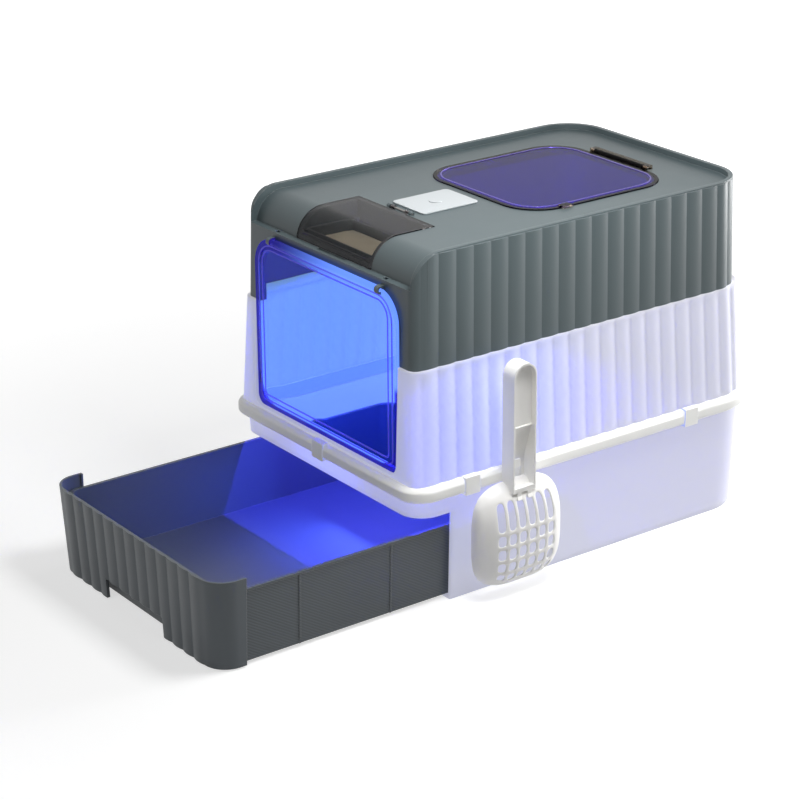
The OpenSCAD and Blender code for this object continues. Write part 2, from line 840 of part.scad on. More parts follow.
// Curved window over the deodoriser, with two hinge knuckles at its rear
module visor() {
    r1 = panel_r + visor_proud;
    r0 = r1 - visor_t;
    color(smoke_brown) difference() {
        union() {
            intersection() {
                along_x(2 * visor_hw) visor_profile(r0, r1, visor_rear);
                block([-far, -far, ledge_z + fit], [far, far, far]);
            }
            for (side = [0, 1]) mirror([side, 0, 0]) {
                translate([visor_knuckle_x, visor_axis_y, visor_axis_z]) rotate([0, 90, 0])
                    cylinder(r = knuckle_r - fit, h = visor_lug_x - visor_knuckle_x - knuckle_gap);
                block([visor_knuckle_x, visor_rear - over, panel_cz + r0],
                    [visor_lug_x - knuckle_gap, visor_axis_y, panel_cz + r1]);
            }
        }
        bar_x(pin_r + run_fit, far, visor_axis_y, visor_axis_z);
    }
}

module visor_pin() {
    color(steel_grey) bar_x(pin_r, 2 * (visor_lug_x + visor_lug_w), visor_axis_y, visor_axis_z);
}

// Open deodoriser box that hangs by its flanges on the bay's rails
module deodoriser_box() {
    z0 = filter_z1 - filter_h;
    y1 = filter_y0 + filter_l;
    flange = bay_hw - fit;
    slot_pitch = 12;
    color(hood_grey) difference() {
        union() {
            block([-filter_hw, filter_y0, z0], [filter_hw, y1, filter_z1]);
            block([-flange, filter_y0, filter_z1 - filter_wall], [flange, y1, filter_z1]);
        }
        block([filter_wall - filter_hw, filter_y0 + filter_wall, z0 + filter_wall],
            [filter_hw - filter_wall, y1 - filter_wall, filter_z1 + over]);
        for (i = [-4 : 4])
            block([i * slot_pitch - 2, filter_y0 + 8, z0 - over],
                [i * slot_pitch + 2, y1 - 8, filter_z1]);
    }
}

module charcoal_pad() {
    in = filter_wall + fit;
    z0 = filter_z1 - filter_h + filter_wall;
    color(charcoal_black) block([in - filter_hw, filter_y0 + in, z0],
        [filter_hw - in, filter_y0 + filter_l - in, z0 + 12]);
}

// Screw positions of the lamp module
module at_screws() {
    for (sx = [-1, 1], sy = [-1, 1])
        translate([sx * screw_x, cover_y + sy * screw_y, 0]) children();
}

// White cover on the panel, with the button's hole and four screw bosses
module lamp_cover() {
    color(cover_white) difference() {
        union() {
            translate([0, 0, panel_z]) linear_extrude(cover_t)
                rounded(cover_w / 2, cover_y0, cover_y1, 6, 6);
            at_screws() translate([0, 0, housing_z + housing_wall])
                cylinder(r = boss_r, h = housing_h - housing_wall + over);
        }
        translate([0, cover_y, panel_z - over]) cylinder(r = button_r + 0.2, h = cover_t + 2 * over);
        at_screws() translate([0, 0, housing_z - over]) cylinder(r = screw_r + run_fit, h = 12 + over);
    }
}

module push_button() {
    color(cover_white) translate([0, cover_y, 0]) {
        translate([0, 0, panel_z - fit - over])
            cylinder(r = button_r, h = cover_t + fit + over + button_travel);
        translate([0, 0, panel_z - fit - over]) cylinder(r = button_r + 1.2, h = over);
        translate([0, 0, panel_z - 3.4]) cylinder(r = stem_r, h = 3);
    }
}

// Switch on the board that the button's stem presses
module tact_switch() {
    top = panel_z - 3.4 - button_travel - 0.1;
    foot = housing_z + lens_t + board_t;
    color(charcoal_black) translate([0, cover_y, 0]) {
        translate([0, 0, foot]) translate([-3, -3, 0]) cube([6, 6, top - foot - 1]);
        translate([0, 0, foot]) cylinder(r = stem_r, h = top - foot);
    }
}

module lamp_housing() {
    color(cover_white) difference() {
        translate([0, 0, housing_z]) linear_extrude(housing_h)
            rounded(housing_hw, cover_y - housing_hl, cover_y + housing_hl, 3, 3);
        translate([0, 0, housing_z + housing_wall]) linear_extrude(housing_h)
            rounded(housing_hw - housing_wall, cover_y - housing_hl + housing_wall,
                cover_y + housing_hl - housing_wall, 1.4, 1.4);
        block([-lens_hw, cover_y - lens_hl, housing_z - over], [lens_hw, cover_y + lens_hl, panel_z]);
        at_screws() translate([0, 0, housing_z - over]) cylinder(r = screw_r + run_fit, h = 6);
    }
}

// Clear window in the housing's floor
module lamp_lens() {
    color([0.85, 0.88, 1, 0.7]) {
        block([fit - lens_hw, cover_y - lens_hl + fit, housing_z],
            [lens_hw - fit, cover_y + lens_hl - fit, housing_z + lens_t]);
    }
}

// Board with six lamps that face down through the window
module led_board() {
    z0 = housing_z + lens_t;
    hw = housing_hw - housing_wall - fit;
    color(board_green) difference() {
        block([-hw, cover_y - lens_hl, z0], [hw, cover_y + lens_hl, z0 + board_t]);
        at_screws() translate([0, 0, housing_z]) cylinder(r = boss_r + fit, h = housing_h);
    }
}

module battery_cell() {
    x = cell_r + 4.2;
    z = housing_z + lens_t + board_t + cell_r;
    color(cell_blue) translate([-x, cover_y - cell_l / 2, z]) rotate([-90, 0, 0])
        cylinder(r = cell_r, h = cell_l);
}

module housing_screws() {
    head_r = 2.2;
    color(steel_grey) at_screws() {
        translate([0, 0, housing_z - 1.2]) cylinder(r = head_r, h = 1.2);
        translate([0, 0, housing_z - 0.6]) cylinder(r = screw_r, h = 11);
    }
}

// Clear front door with its raised line, hinge barrel and moulded pins
module front_door() {
    y0 = door_back - door_t;
    in = bead_in;
    pin_l = 2 * (lug_x + lug_l - 0.5);
    color(door_blue) difference() {
        union() {
            difference() {
                along_y(y0, door_back) rounded(door_hw, door_z0, door_z1, door_foot_r, door_r);
                for (side = [-1, 1]) translate([side * (lug_x + lug_l / 2), 0, 0])
                    block([-lug_l / 2 - 1.5, -far, hinge_z - lug_r - 1.6], [lug_l / 2 + 1.5, 0, far]);
            }
            along_y(y0 - bead_h, y0 + bead_h) difference() {
                rounded(door_hw - in, door_z0 + in, door_z1 - in - 4, door_foot_r - 4, door_r - in);
                rounded(door_hw - in - bead_w, door_z0 + in + bead_w, door_z1 - in - 4 - bead_w,
                    door_foot_r - 4 - bead_w, door_r - in - bead_w);
            }
            bar_x(barrel_r, 2 * barrel_hl, hinge_y, hinge_z);
            bar_x(door_pin_r, pin_l, hinge_y, hinge_z);
        }
        magnet_pocket();
    }
}

module magnet_pocket() {
    translate([magnet_x - magnet[0] / 2, door_back - magnet[1], magnet_z])
        cube([magnet[0], magnet[1] + over, magnet[2]]);
}

module door_magnet() {
    color(charcoal_black) translate([magnet_x - magnet[0] / 2, door_back - magnet[1], magnet_z])
        cube(magnet);
}

module door_keeper() {
    color(charcoal_black) translate([magnet_x - magnet[0] / 2, door_seat, magnet_z])
        cube(magnet);
}

// Plan of the drawer tray, drawn in by t, from its front to its rear
module tray_plan(hw, t) {
    rounded_polygon(hw - t, tray_front + t, tray_rear - t, tray_front_r, tray_rear_r);
}

// Deep tray with a rolled rim and upright ribs on its sides
module drawer_tray() {
    h = tray_z1 - tray_z0;
    lower = tray_hw - tray_draft;
    grow = tray_hw / lower;
    color(drawer_olive) translate([0, -drawer_out, 0]) {
        difference() {
            union() {
                translate([0, 0, tray_z0]) linear_extrude(height = h, slices = 1, scale = [grow, 1])
                    tray_plan(lower, 0);
                translate([0, 0, tray_z1 - tray_lip_h]) linear_extrude(tray_lip_h)
                    rounded(tray_hw + tray_lip, tray_front, tray_rear + tray_lip,
                        tray_front_r, tray_rear_r);
            }
            translate([0, 0, tray_z0 + drawer_wall])
                linear_extrude(height = h, slices = 1, scale = [grow, 1])
                tray_plan(lower, drawer_wall);
        }
        for (side = [0, 1]) mirror([side, 0, 0])
            for (i = [0 : 2])
                translate([lower - over / 2, rib_y + i * rib_pitch, tray_z0])
                    side_rib(h - tray_lip_h);
    }
}

// Upright rib that leans with the tray's side
module side_rib(h) {
    proud = 1.3;
    rotate([90, 0, 0]) translate([0, 0, -1]) linear_extrude(2)
        polygon([[0, 0], [proud, 0], [tray_draft + proud, h], [tray_draft, h]]);
}

// Reeded drawer front with its cheeks and handle notch
module drawer_front() {
    h = fascia_z1 - fascia_z0;
    low_hw = fascia_hw - fascia_draft;
    deep = -fascia_y - fascia_draft;
    flare = [fascia_hw / low_hw, -fascia_y / deep];
    color(drawer_olive) translate([0, -drawer_out, 0]) {
        difference() {
            translate([0, 0, fascia_z0])
                linear_extrude(height = h, slices = 1, scale = flare) fascia_outline(low_hw, deep);
            translate([0, 0, fascia_z0 - over])
                linear_extrude(height = h + 2 * over, slices = 1, scale = flare)
                rounded_polygon(low_hw - drawer_wall, reed_depth + drawer_wall - deep, deep,
                    fascia_r - drawer_wall, fascia_r - drawer_wall);
            block([-far, fascia_y + cheek, -far], [far, far, far]);
            block([-notch_hw, -far, -far], [notch_hw, tray_front, fascia_z0 + notch_h]);
        }
        for (side = [0, 1]) mirror([side, 0, 0]) {
            along_y(fascia_y + cheek - drawer_wall, fascia_y + cheek) cheek_return(low_hw);
            block([grip_rib_x, fascia_y + fascia_draft + over, notch_h + 8],
                [grip_rib_x + 3, tray_front, tray_z1 - 2]);
        }
    }
}

// Return of a cheek towards the tray's side, in X and Z
module cheek_return(low_hw) {
    gap = tray_lip + fit;
    polygon([[tray_hw - tray_draft + gap, tray_z0], [low_hw - over, tray_z0],
        [fascia_hw - over, fascia_z1], [tray_hw + gap, fascia_z1],
        [tray_hw + gap, tray_z1 - tray_lip_h]]);
}

// Plan of the drawer front's block with reeds between its rounded corners
module fascia_outline(hw, deep) {
    r = fascia_r;
    run = hw - r;
    corner_y = r + reed_depth - deep;
    polygon(concat(quarter(run, deep - r, r, 0), quarter(-run, deep - r, r, 90),
        quarter(-run, corner_y, r, 180, arc_steps - 1),
        reed_row([-run, -deep], [run, -deep], 270, round(2 * run / front_pitch)),
        quarter(run, corner_y, r, 270)));
}

// Outline of the bowl from the side, in X and Z, drawn in by t: two arcs that meet at its middle
module bowl_profile(t) {
    intersection() {
        translate([scoop_x + bowl_d - bowl_up_r, bowl_mid]) circle(bowl_up_r - t);
        translate([0, bowl_mid]) square([far, far]);
    }
    intersection() {
        translate([scoop_x + bowl_d - bowl_down_r, bowl_mid]) circle(bowl_down_r - t);
        square([far, bowl_mid]);
    }
}

// Solid shape of the bowl, drawn in by t: curved from top to tip and from side to side
module bowl_body(t) {
    corner = 24;
    intersection() {
        along_y(scoop_y - bowl_hw + t, scoop_y + bowl_hw - t) bowl_profile(t);
        translate([bowl_axis, scoop_y, 0]) cylinder(r = bowl_R - t, h = bowl_top);
        translate([0, scoop_y, 0]) along_x(far)
            rounded(bowl_hw - t, bowl_clear + t, bowl_top - t, corner - t, corner - t);
    }
}

// Outline of the handle, in Y and Z, drawn in by t
module handle_outline(t, foot) {
    hw = handle_w / 2;
    top = band_top + handle_rise - hw;
    translate([scoop_y - hw + t, foot]) square([handle_w - 2 * t, top - foot]);
    translate([scoop_y, top]) circle(hw - t);
}

// Extrusion of a drawing in Y and Z along X, from x0 to x1
module from_x(x0, x1) {
    translate([x0, 0, 0]) rotate([90, 0, 90]) linear_extrude(x1 - x0) children();
}

// Scoop: channel handle and slotted bowl, hung with the bowl's mouth to the wall
module scoop() {
    color(scoop_white) difference() {
        union() {
            intersection() {
                bowl_body(0);
                block([scoop_x, -far, 0], [far, far, far]);
            }
            difference() {
                from_x(scoop_x, scoop_x + handle_d) handle_outline(0, bowl_mid + 20);
                from_x(scoop_x + scoop_wall, far) handle_outline(scoop_wall, band_bottom - over);
            }
            block([scoop_x, scoop_y - handle_w / 2, handle_rib_z],
                [scoop_x + scoop_wall + 2, scoop_y + handle_w / 2, handle_rib_z + 1.2]);
        }
        bowl_body(scoop_wall);
        bowl_slots();
        from_x(scoop_x - over, scoop_x + scoop_wall + over) arch(hole_hw, hole_z0, hook_z);
    }
}

// Arch in Y and Z, hw to each side, from z0 to its crown at z1
module arch(hw, z0, z1) {
    translate([scoop_y - hw, z0]) square([2 * hw, z1 - hw - z0]);
    translate([scoop_y, z1 - hw]) circle(hw);
}

// Rows of slots, spread round the bowl's upright axis
module bowl_slots() {
    for (i = [0 : slot_cols - 1]) {
        angle = (i - (slot_cols - 1) / 2) * slot_step;
        translate([bowl_axis, scoop_y, bowl_mid]) rotate(angle)
            for (row = slot_rows)
                block([bowl_R - bowl_d, -slot_w / 2, row[0]], [far, slot_w / 2, row[1]]);
    }
}

// Hook on the rim band: an arm through the handle's back and an upturned tip
module scoop_hook() {
    hw = 5;
    tip = scoop_x + scoop_wall + 1.5;
    tip_t = 2.5;
    arm_top = hook_z - fit;
    color(band_cream) {
        from_x(mid_section[0] + fit, tip + tip_t) intersection() {
            translate([scoop_y - hw, band_top]) square([2 * hw, far]);
            arch(hole_hw - fit, hole_z0, arm_top);
        }
        block([tip, scoop_y - hw, band_top], [tip + tip_t, scoop_y + hw, arm_top + 4]);
    }
}

base_tub();
rim_band();
snap_clips();
mid_shell();
hood();
hatch_lid();
hatch_hinge_bar();
hatch_pin();
hatch_latch();
hatch_frame();
visor();
visor_pin();
deodoriser_rails();
deodoriser_box();
charcoal_pad();
lamp_cover();
push_button();
tact_switch();
lamp_housing();
led_board();
lamp_lens();
battery_cell();
housing_screws();
door_frame_top();
door_frame_low();
front_door();
door_magnet();
door_keeper();
drawer_tray();
drawer_front();
scoop();
scoop_hook();
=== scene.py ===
"""Finished surfaces of a covered litter box with a pull-out drawer, built round its fixed parts.

Metres, +Z up. The front of the box faces -Y and its scoop hangs on the +X side.
"""

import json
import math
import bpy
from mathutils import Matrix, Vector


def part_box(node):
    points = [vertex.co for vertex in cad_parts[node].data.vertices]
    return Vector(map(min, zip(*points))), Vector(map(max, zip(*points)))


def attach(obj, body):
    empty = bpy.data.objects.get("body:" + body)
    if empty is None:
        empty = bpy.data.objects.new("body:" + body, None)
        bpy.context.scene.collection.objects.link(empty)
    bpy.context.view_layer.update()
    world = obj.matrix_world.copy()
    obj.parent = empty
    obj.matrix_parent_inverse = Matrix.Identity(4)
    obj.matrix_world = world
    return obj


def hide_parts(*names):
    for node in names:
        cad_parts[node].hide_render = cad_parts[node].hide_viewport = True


bl_info = {
    "name": "Drawer Litter Box",
    "version": (1, 0, 0),
    "blender": (4, 5, 0),
    "location": "3D View > Sidebar > Litter Box",
    "description": "Builds the finished pieces, materials and studio of a covered litter box",
    "category": "Add Mesh",
}

import bmesh
import bpy
from bpy.props import FloatProperty, FloatVectorProperty, PointerProperty
from mathutils import Matrix, Vector

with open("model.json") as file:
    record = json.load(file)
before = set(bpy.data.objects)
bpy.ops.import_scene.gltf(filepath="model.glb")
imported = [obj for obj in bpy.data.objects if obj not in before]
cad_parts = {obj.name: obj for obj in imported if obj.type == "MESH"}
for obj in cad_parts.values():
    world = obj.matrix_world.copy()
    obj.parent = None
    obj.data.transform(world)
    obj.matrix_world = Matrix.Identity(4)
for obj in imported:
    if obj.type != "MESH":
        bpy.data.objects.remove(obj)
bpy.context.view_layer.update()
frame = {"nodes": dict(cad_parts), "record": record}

MM = 0.001
MERGE = 2e-6
LINE_WIDTH = 1.8 * MM
LINE_RISE = 0.9 * MM
TEXTURE_PITCH = 5.5 * MM
FADE = 0.5 * MM
CLEAR_IOR = 1.13
BLACK = (0, 0, 0, 1)
WHITE = (1, 1, 1, 1)


def colour(name, description, default):
    """A colour property, in linear values."""
    return FloatVectorProperty(name=name, description=description, default=default,
                               subtype="COLOR", size=3, min=0, max=1)


def length(name, description, default):
    """A length property, in metres."""
    return FloatProperty(name=name, description=description, default=default, min=0, unit="LENGTH")


def power(name, description, default):
    """A lamp's power property, in watts."""
    return FloatProperty(name=name, description=description, default=default, min=0, unit="POWER")


def degrees(name, description, default):
    """An angle property, with its default in degrees."""
    return FloatProperty(name=name, description=description, default=math.radians(default),
                         subtype="ANGLE")


class LitterBoxColours(bpy.types.PropertyGroup):
    """Colours of the moulded, clear and metal pieces."""

    shell: colour("Shell", "Translucent white plastic of the shells", (0.353, 0.356, 0.412))
    # Painted lamp light: the tint and light painted into the shells near the lamp
    glow: colour("Glow", "Tint of the shells where the lamp shines through", (0.46, 0.52, 0.92))
    lamp: colour("Lamp", "Light of the lamp in the hood", (0.045, 0.05, 1.0))
    band: colour("Band", "Cream plastic of the rim band and its clips", (0.93, 0.93, 0.90))
    hood: colour("Hood", "Slate grey plastic of the hood", (0.064, 0.087, 0.093))
    drawer: colour("Drawer", "Grey green plastic of the drawer", (0.083, 0.098, 0.110))
    door: colour("Door", "Clear blue plastic of the front door", (0.34, 0.66, 1.0))
    hatch: colour("Hatch", "Clear violet plastic of the hatch lid", (0.165, 0.11, 0.66))
    smoke: colour("Smoke", "Smoked plastic of the visor", (0.46, 0.435, 0.44))
    cover: colour("Cover", "White plastic of the lamp module", (0.455, 0.485, 0.50))
    scoop: colour("Scoop", "Warm white plastic of the scoop", (0.95, 0.94, 0.91))
    steel: colour("Steel", "Pins and screws", (0.30, 0.29, 0.28))
    pad: colour("Pad", "Deodoriser sachet", (0.47, 0.45, 0.31))


class LitterBoxSizes(bpy.types.PropertyGroup):
    """Rounding of edges and the sizes of small added pieces."""

    soft_edge: length("Soft edge", "Rounding of the clear pieces' edges", 0.6 * MM)
    fine_edge: length("Fine edge", "Rounding of small moulded pieces' edges", 0.35 * MM)
    band_edge: length("Band edge", "Rounding of the rim band's edges", 2.6 * MM)
    rim_edge: length("Rim edge", "Rounding of the hood's raised rim", 3.0 * MM)
    led: length("LED", "Radius of a lamp on the board", 1.92 * MM)
    pin_edge: length("Pin edge", "Rounding of the ends of pins and screws", 0.2 * MM)
    pad_edge: length("Pad edge", "Width of the sachet's sealed edge", 5 * MM)


class LitterBoxStage(bpy.types.PropertyGroup):
    """Camera and lamps."""

    azimuth: degrees("Azimuth", "Camera's turn from the front", 53.65)
    elevation: degrees("Elevation", "Camera's height angle", 21.81)
    roll: degrees("Roll", "Camera's tilt in the picture", -0.42)
    distance: length("Distance", "Camera's distance from its target", 2.76858)
    lens: FloatProperty(name="Lens", description="Focal length", default=110.32, unit="CAMERA")
    floor: length("Floor", "Half width of the floor", 14.0)
    room: FloatProperty(name="Room", description="Strength of the even light of the room",
                        default=0.07, min=0)
    key: power("Key", "Power of the large rear lamp", 115)
    top: power("Top", "Power of the lamp overhead", 6.2)
    fill: power("Fill", "Power of the front lamp", 12)
    lamp: power("Lamp", "Power of the lamp in the hood", 26)
    spill: power("Spill", "Power of the lamp light that leaves the front", 1.1)
    spread: degrees("Spread", "Full angle of the lamp's beam", 124)


# Node groups ------------

def new_group(name, inputs, outputs):
    """A shader node group, the values that it is given, and the node that takes its results.

    inputs hold a socket's kind or the default of a number, outputs hold kinds.
    """
    tree = bpy.data.node_groups.new(name, "ShaderNodeTree")
    for label, kind in inputs.items():
        default = None if isinstance(kind, str) else kind
        kind = kind if default is None else "Float"
        socket = tree.interface.new_socket(label, in_out="INPUT", socket_type=f"NodeSocket{kind}")
        if default is not None:
            socket.default_value = default
    for label, kind in outputs.items():
        tree.interface.new_socket(label, in_out="OUTPUT", socket_type=f"NodeSocket{kind}")
    return tree, tree.nodes.new("NodeGroupInput").outputs, tree.nodes.new("NodeGroupOutput")


def feed(tree, node, inputs):
    """Sets or links a node's inputs."""
    for key, value in inputs.items():
        if isinstance(value, bpy.types.NodeSocket):
            tree.links.new(value, node.inputs[key])
        else:
            node.inputs[key].default_value = value


def add(tree, kind, inputs, **options):
    """A node with its options set and its inputs set or linked."""
    node = tree.nodes.new(f"ShaderNode{kind}")
    for key, value in options.items():
        setattr(node, key, value)
    feed(tree, node, inputs)
    return node


def maths(tree, operation, a, b=0.0, clamp=False):
    """The output of a Math node."""
    return add(tree, "Math", {0: a, 1: b}, operation=operation, use_clamp=clamp).outputs[0]


def vectors(tree, operation, a, b=(0, 0, 0)):
    """The output of a Vector Math node: a number for a length or a dot product."""
    node = add(tree, "VectorMath", {0: a, 1: b}, operation=operation)
    return node.outputs["Value" if operation in ("LENGTH", "DOT_PRODUCT") else "Vector"]


def ramp(tree, value, start, end, low=0.0, high=1.0, kind="LINEAR"):
    """The output of a Map Range node: low at start, high at end, and level beyond them."""
    return add(tree, "MapRange", {0: value, 1: start, 2: end, 3: low, 4: high},
               interpolation_type=kind).outputs[0]


def mixed(tree, factor, a, b, blend="MIX"):
    """The output of a colour Mix node."""
    return add(tree, "Mix", {0: factor, 6: a, 7: b}, data_type="RGBA", blend_type=blend).outputs[2]


def noise(tree, vector, scale, detail=2.0, roughness=0.5, distortion=0.0):
    """The value of a Noise node."""
    return add(tree, "TexNoise", {"Vector": vector, "Scale": scale, "Detail": detail,
                                  "Roughness": roughness, "Distortion": distortion}).outputs[0]


def build_grain():
    """Moulded plastic: a fine grain, cloudy colour and a roughness that wanders with them."""
    tree, given, out = new_group(
        "Moulded grain",
        {"Vector": "Vector", "Color": "Color", "Roughness": 0.45, "Grain": 1400.0, "Cloud": 0.05},
        {"Color": "Color", "Roughness": "Float", "Height": "Float"})
    fine = noise(tree, given["Vector"], given["Grain"], 3.0, 0.6)
    cloud = noise(tree, given["Vector"], 9.0, 4.0, 0.55, 0.4)
    shade = maths(tree, "MULTIPLY", maths(tree, "SUBTRACT", cloud, 0.5), given["Cloud"])
    shade = maths(tree, "ADD", maths(tree, "MULTIPLY", shade, 2.0), 1.0)
    grey = add(tree, "CombineColor", {0: shade, 1: shade, 2: shade}).outputs[0]
    tinted = mixed(tree, 1.0, given["Color"], grey, "MULTIPLY")
    wander = maths(tree, "MULTIPLY", maths(tree, "SUBTRACT", cloud, 0.5), 0.16)
    speck = maths(tree, "MULTIPLY", maths(tree, "SUBTRACT", fine, 0.5), 0.10)
    rough = maths(tree, "ADD", maths(tree, "ADD", given["Roughness"], wander), speck, clamp=True)
    feed(tree, out, {"Color": tinted, "Roughness": rough, "Height": fine})
    return tree


def build_edges():
    """Softened edges: the normal of a small rounding, and a painted highlight, a lighter colour
    where it turns.
    """
    tree, given, out = new_group(
        "Soft edges", {"Color": "Color", "Radius": 0.7 * MM, "Worn": 0.18},
        {"Color": "Color", "Normal": "Vector"})
    bevel = add(tree, "Bevel", {"Radius": given["Radius"]}, samples=4)
    flat = add(tree, "NewGeometry", {}).outputs["Normal"]
    turned = vectors(tree, "DOT_PRODUCT", bevel.outputs[0], flat)
    away = maths(tree, "SUBTRACT", 1.0, turned, clamp=True)
    edge = maths(tree, "MULTIPLY", away, 3.0, clamp=True)
    # Painted highlight: the colour goes towards white where the rounding turns away.
    painted_highlight = maths(tree, "MULTIPLY", edge, given["Worn"])
    feed(tree, out, {"Color": mixed(tree, painted_highlight, given["Color"], WHITE),
                     "Normal": bevel.outputs[0]})
    return tree


def build_scuffs():
    """Clear plastic: faint hairlines and smears that only change the roughness."""
    tree, given, out = new_group(
        "Clear scuffs", {"Vector": "Vector", "Roughness": 0.04},
        {"Roughness": "Float", "Height": "Float"})
    lines = add(tree, "Mapping", {"Vector": given["Vector"], "Rotation": (0.4, 0.9, 0.3),
                                  "Scale": (6.0, 240.0, 30.0)}).outputs[0]
    hair = ramp(tree, noise(tree, lines, 4.0, 2.0, 0.7), 0.62, 0.72, 0.0, 0.06)
    smear = noise(tree, given["Vector"], 14.0, 3.0, 0.5, 0.8)
    smear = ramp(tree, smear, 0.5, 0.8, 0.0, 0.07)
    rough = maths(tree, "ADD", maths(tree, "ADD", given["Roughness"], hair), smear, clamp=True)
    feed(tree, out, {"Roughness": rough, "Height": noise(tree, given["Vector"], 40.0, 1.0)})
    return tree


def build_lamp_glow():
    """Lamp light painted into a translucent side wall: its colour and its light, by the way to the
    lamp.

    The whole wall also has a faint painted glow, most at its front, and the ledge on its top a
    painted highlight.
    """
    tree, given, out = new_group(
        "Lamp glow",
        {"Vector": "Vector", "Color": "Color", "Lit Color": "Color", "Light": "Color",
         "Lit Light": "Color", "Centre Y": -0.15, "Centre Z": 0.19, "Reach": 0.2, "Level": 0.5,
         "Faint Level": 0.12, "Ledge": 0.27},
        {"Color": "Color", "Light": "Color"})
    side, body_end = 0.17, 0.26
    apart = add(tree, "SeparateXYZ", {0: given["Vector"]}).outputs
    across = maths(tree, "SUBTRACT", maths(tree, "ABSOLUTE", apart[0]), side)
    across = maths(tree, "MULTIPLY", across, 0.5)
    along = maths(tree, "SUBTRACT", apart[1], given["Centre Y"])
    up = maths(tree, "SUBTRACT", apart[2], given["Centre Z"])
    spot = add(tree, "CombineXYZ", {0: across, 1: along, 2: up}).outputs[0]
    wobble = maths(tree, "SUBTRACT", noise(tree, given["Vector"], 11.0, 2.0, 0.5), 0.5)
    wobble = maths(tree, "MULTIPLY", wobble, 0.05)
    far = maths(tree, "ADD", vectors(tree, "LENGTH", spot), wobble)
    near = ramp(tree, far, given["Reach"], 0.0, kind="SMOOTHERSTEP")
    front = ramp(tree, apart[1], body_end, -body_end)
    strength = maths(tree, "MAXIMUM", maths(tree, "MULTIPLY", near, given["Level"]),
                     maths(tree, "MULTIPLY", front, given["Faint Level"]))
    shade = mixed(tree, strength, given["Color"], given["Lit Color"])
    # Painted highlight: an even pale light on the ledge.
    above = maths(tree, "SUBTRACT", apart[2], given["Ledge"])
    ledge = ramp(tree, above, 0.0, FADE)
    light = mixed(tree, strength, given["Light"], given["Lit Light"])
    light = mixed(tree, ledge, light, (0.34, 0.34, 0.36, 1))
    feed(tree, out, {"Color": shade, "Light": light})
    return tree


def build_border():
    """The border of a panel with rounded corners: 1 outside its inner edge, 0 inside it."""
    tree, given, out = new_group(
        "Panel border",
        {"Vector": "Vector", "Middle": "Vector", "Axes": "Vector", "Inner": "Vector",
         "Reach": 0.02},
        {"Mask": "Float"})
    away = vectors(tree, "ABSOLUTE", vectors(tree, "SUBTRACT", given["Vector"], given["Middle"]))
    away = vectors(tree, "MULTIPLY", away, given["Axes"])
    past = vectors(tree, "MAXIMUM", vectors(tree, "SUBTRACT", away, given["Inner"]))
    start = maths(tree, "SUBTRACT", given["Reach"], 0.4 * MM)
    feed(tree, out, {"Mask": ramp(tree, vectors(tree, "LENGTH", past), start, given["Reach"])})
    return tree


def build_inward():
    """Faces that look towards a centre: 1 on the inner side of a wall below a height, else 0."""
    tree, given, out = new_group(
        "Inner faces", {"Vector": "Vector", "Centre": "Vector", "Top": 0.356}, {"Mask": "Float"})
    away = vectors(tree, "SUBTRACT", given["Vector"], given["Centre"])
    flat = add(tree, "NewGeometry", {}).outputs["True Normal"]
    inner = maths(tree, "LESS_THAN", vectors(tree, "DOT_PRODUCT", away, flat), 0.0)
    height = add(tree, "SeparateXYZ", {0: given["Vector"]}).outputs[2]
    below = maths(tree, "LESS_THAN", height, given["Top"])
    feed(tree, out, {"Mask": maths(tree, "MULTIPLY", inner, below)})
    return tree


def build_drawn():
    """Drawn metal: fine lines along one axis."""
    tree, given, out = new_group("Drawn lines", {"Vector": "Vector"}, {"Height": "Float"})
    lines = add(tree, "Mapping", {"Vector": given["Vector"], "Scale": (30.0, 900.0, 900.0)})
    feed(tree, out, {"Height": noise(tree, lines.outputs[0], 1.0, 2.0)})
    return tree


GROUPS = {}


def build_groups():
    """Makes each shared node group once."""
    GROUPS.update(grain=build_grain(), edges=build_edges(), scuffs=build_scuffs(),
                  glow=build_lamp_glow(), border=build_border(), inward=build_inward(),
                  drawn=build_drawn())


# Materials ------------

def spaced(values):
    """The same values, under names with spaces for underscores."""
    return {key.replace("_", " "): value for key, value in values.items()}


class Finish:
    """A material with its Principled shader and the object's coordinates at hand."""

    def __init__(self, name, **values):
        self.material = bpy.data.materials.new(name)
        self.material.use_nodes = True
        self.tree = self.material.node_tree
        self.tree.nodes.clear()
        self.shader = add(self.tree, "BsdfPrincipled", spaced(values))
        add(self.tree, "OutputMaterial", {0: self.shader.outputs[0]})
        self.place = add(self.tree, "TexCoord", {}).outputs["Object"]

    def group(self, name, **inputs):
        """The outputs of a shared group, with its own values, at the object's coordinates."""
        node = self.tree.nodes.new("ShaderNodeGroup")
        node.node_tree = GROUPS[name]
        if "Vector" in node.inputs:
            inputs["Vector"] = self.place
        feed(self.tree, node, spaced(inputs))
        return node.outputs

    def link(self, socket, name):
        """Feeds one of the shader's inputs."""
        self.tree.links.new(socket, self.shader.inputs[name])

    def grain(self, colour, roughness, scale, cloud):
        """The moulded grain, which feeds the colour and the roughness."""
        grained = self.group("grain", Color=colour, Roughness=roughness, Grain=scale, Cloud=cloud)
        self.link(grained["Color"], "Base Color")
        self.link(grained["Roughness"], "Roughness")
        return grained

    def glow(self, light):
        """Gives off light of its own: a colour with its alpha, or a socket that carries one."""
        feed(self.tree, self.shader, {"Emission Color": light, "Emission Strength": 1.0})

    def relief(self, height, distance, strength=0.3, normal=None):
        """Feeds the normal from a height, over a normal that is already softened."""
        inputs = {"Height": height, "Distance": distance, "Strength": strength}
        if normal is not None:
            inputs["Normal"] = normal
        self.link(add(self.tree, "Bump", inputs).outputs[0], "Normal")


def rgba(value, factor=1.0):
    """A colour with its alpha, made lighter or darker by a factor."""
    return (*(min(1.0, part * factor) for part in value), 1.0)


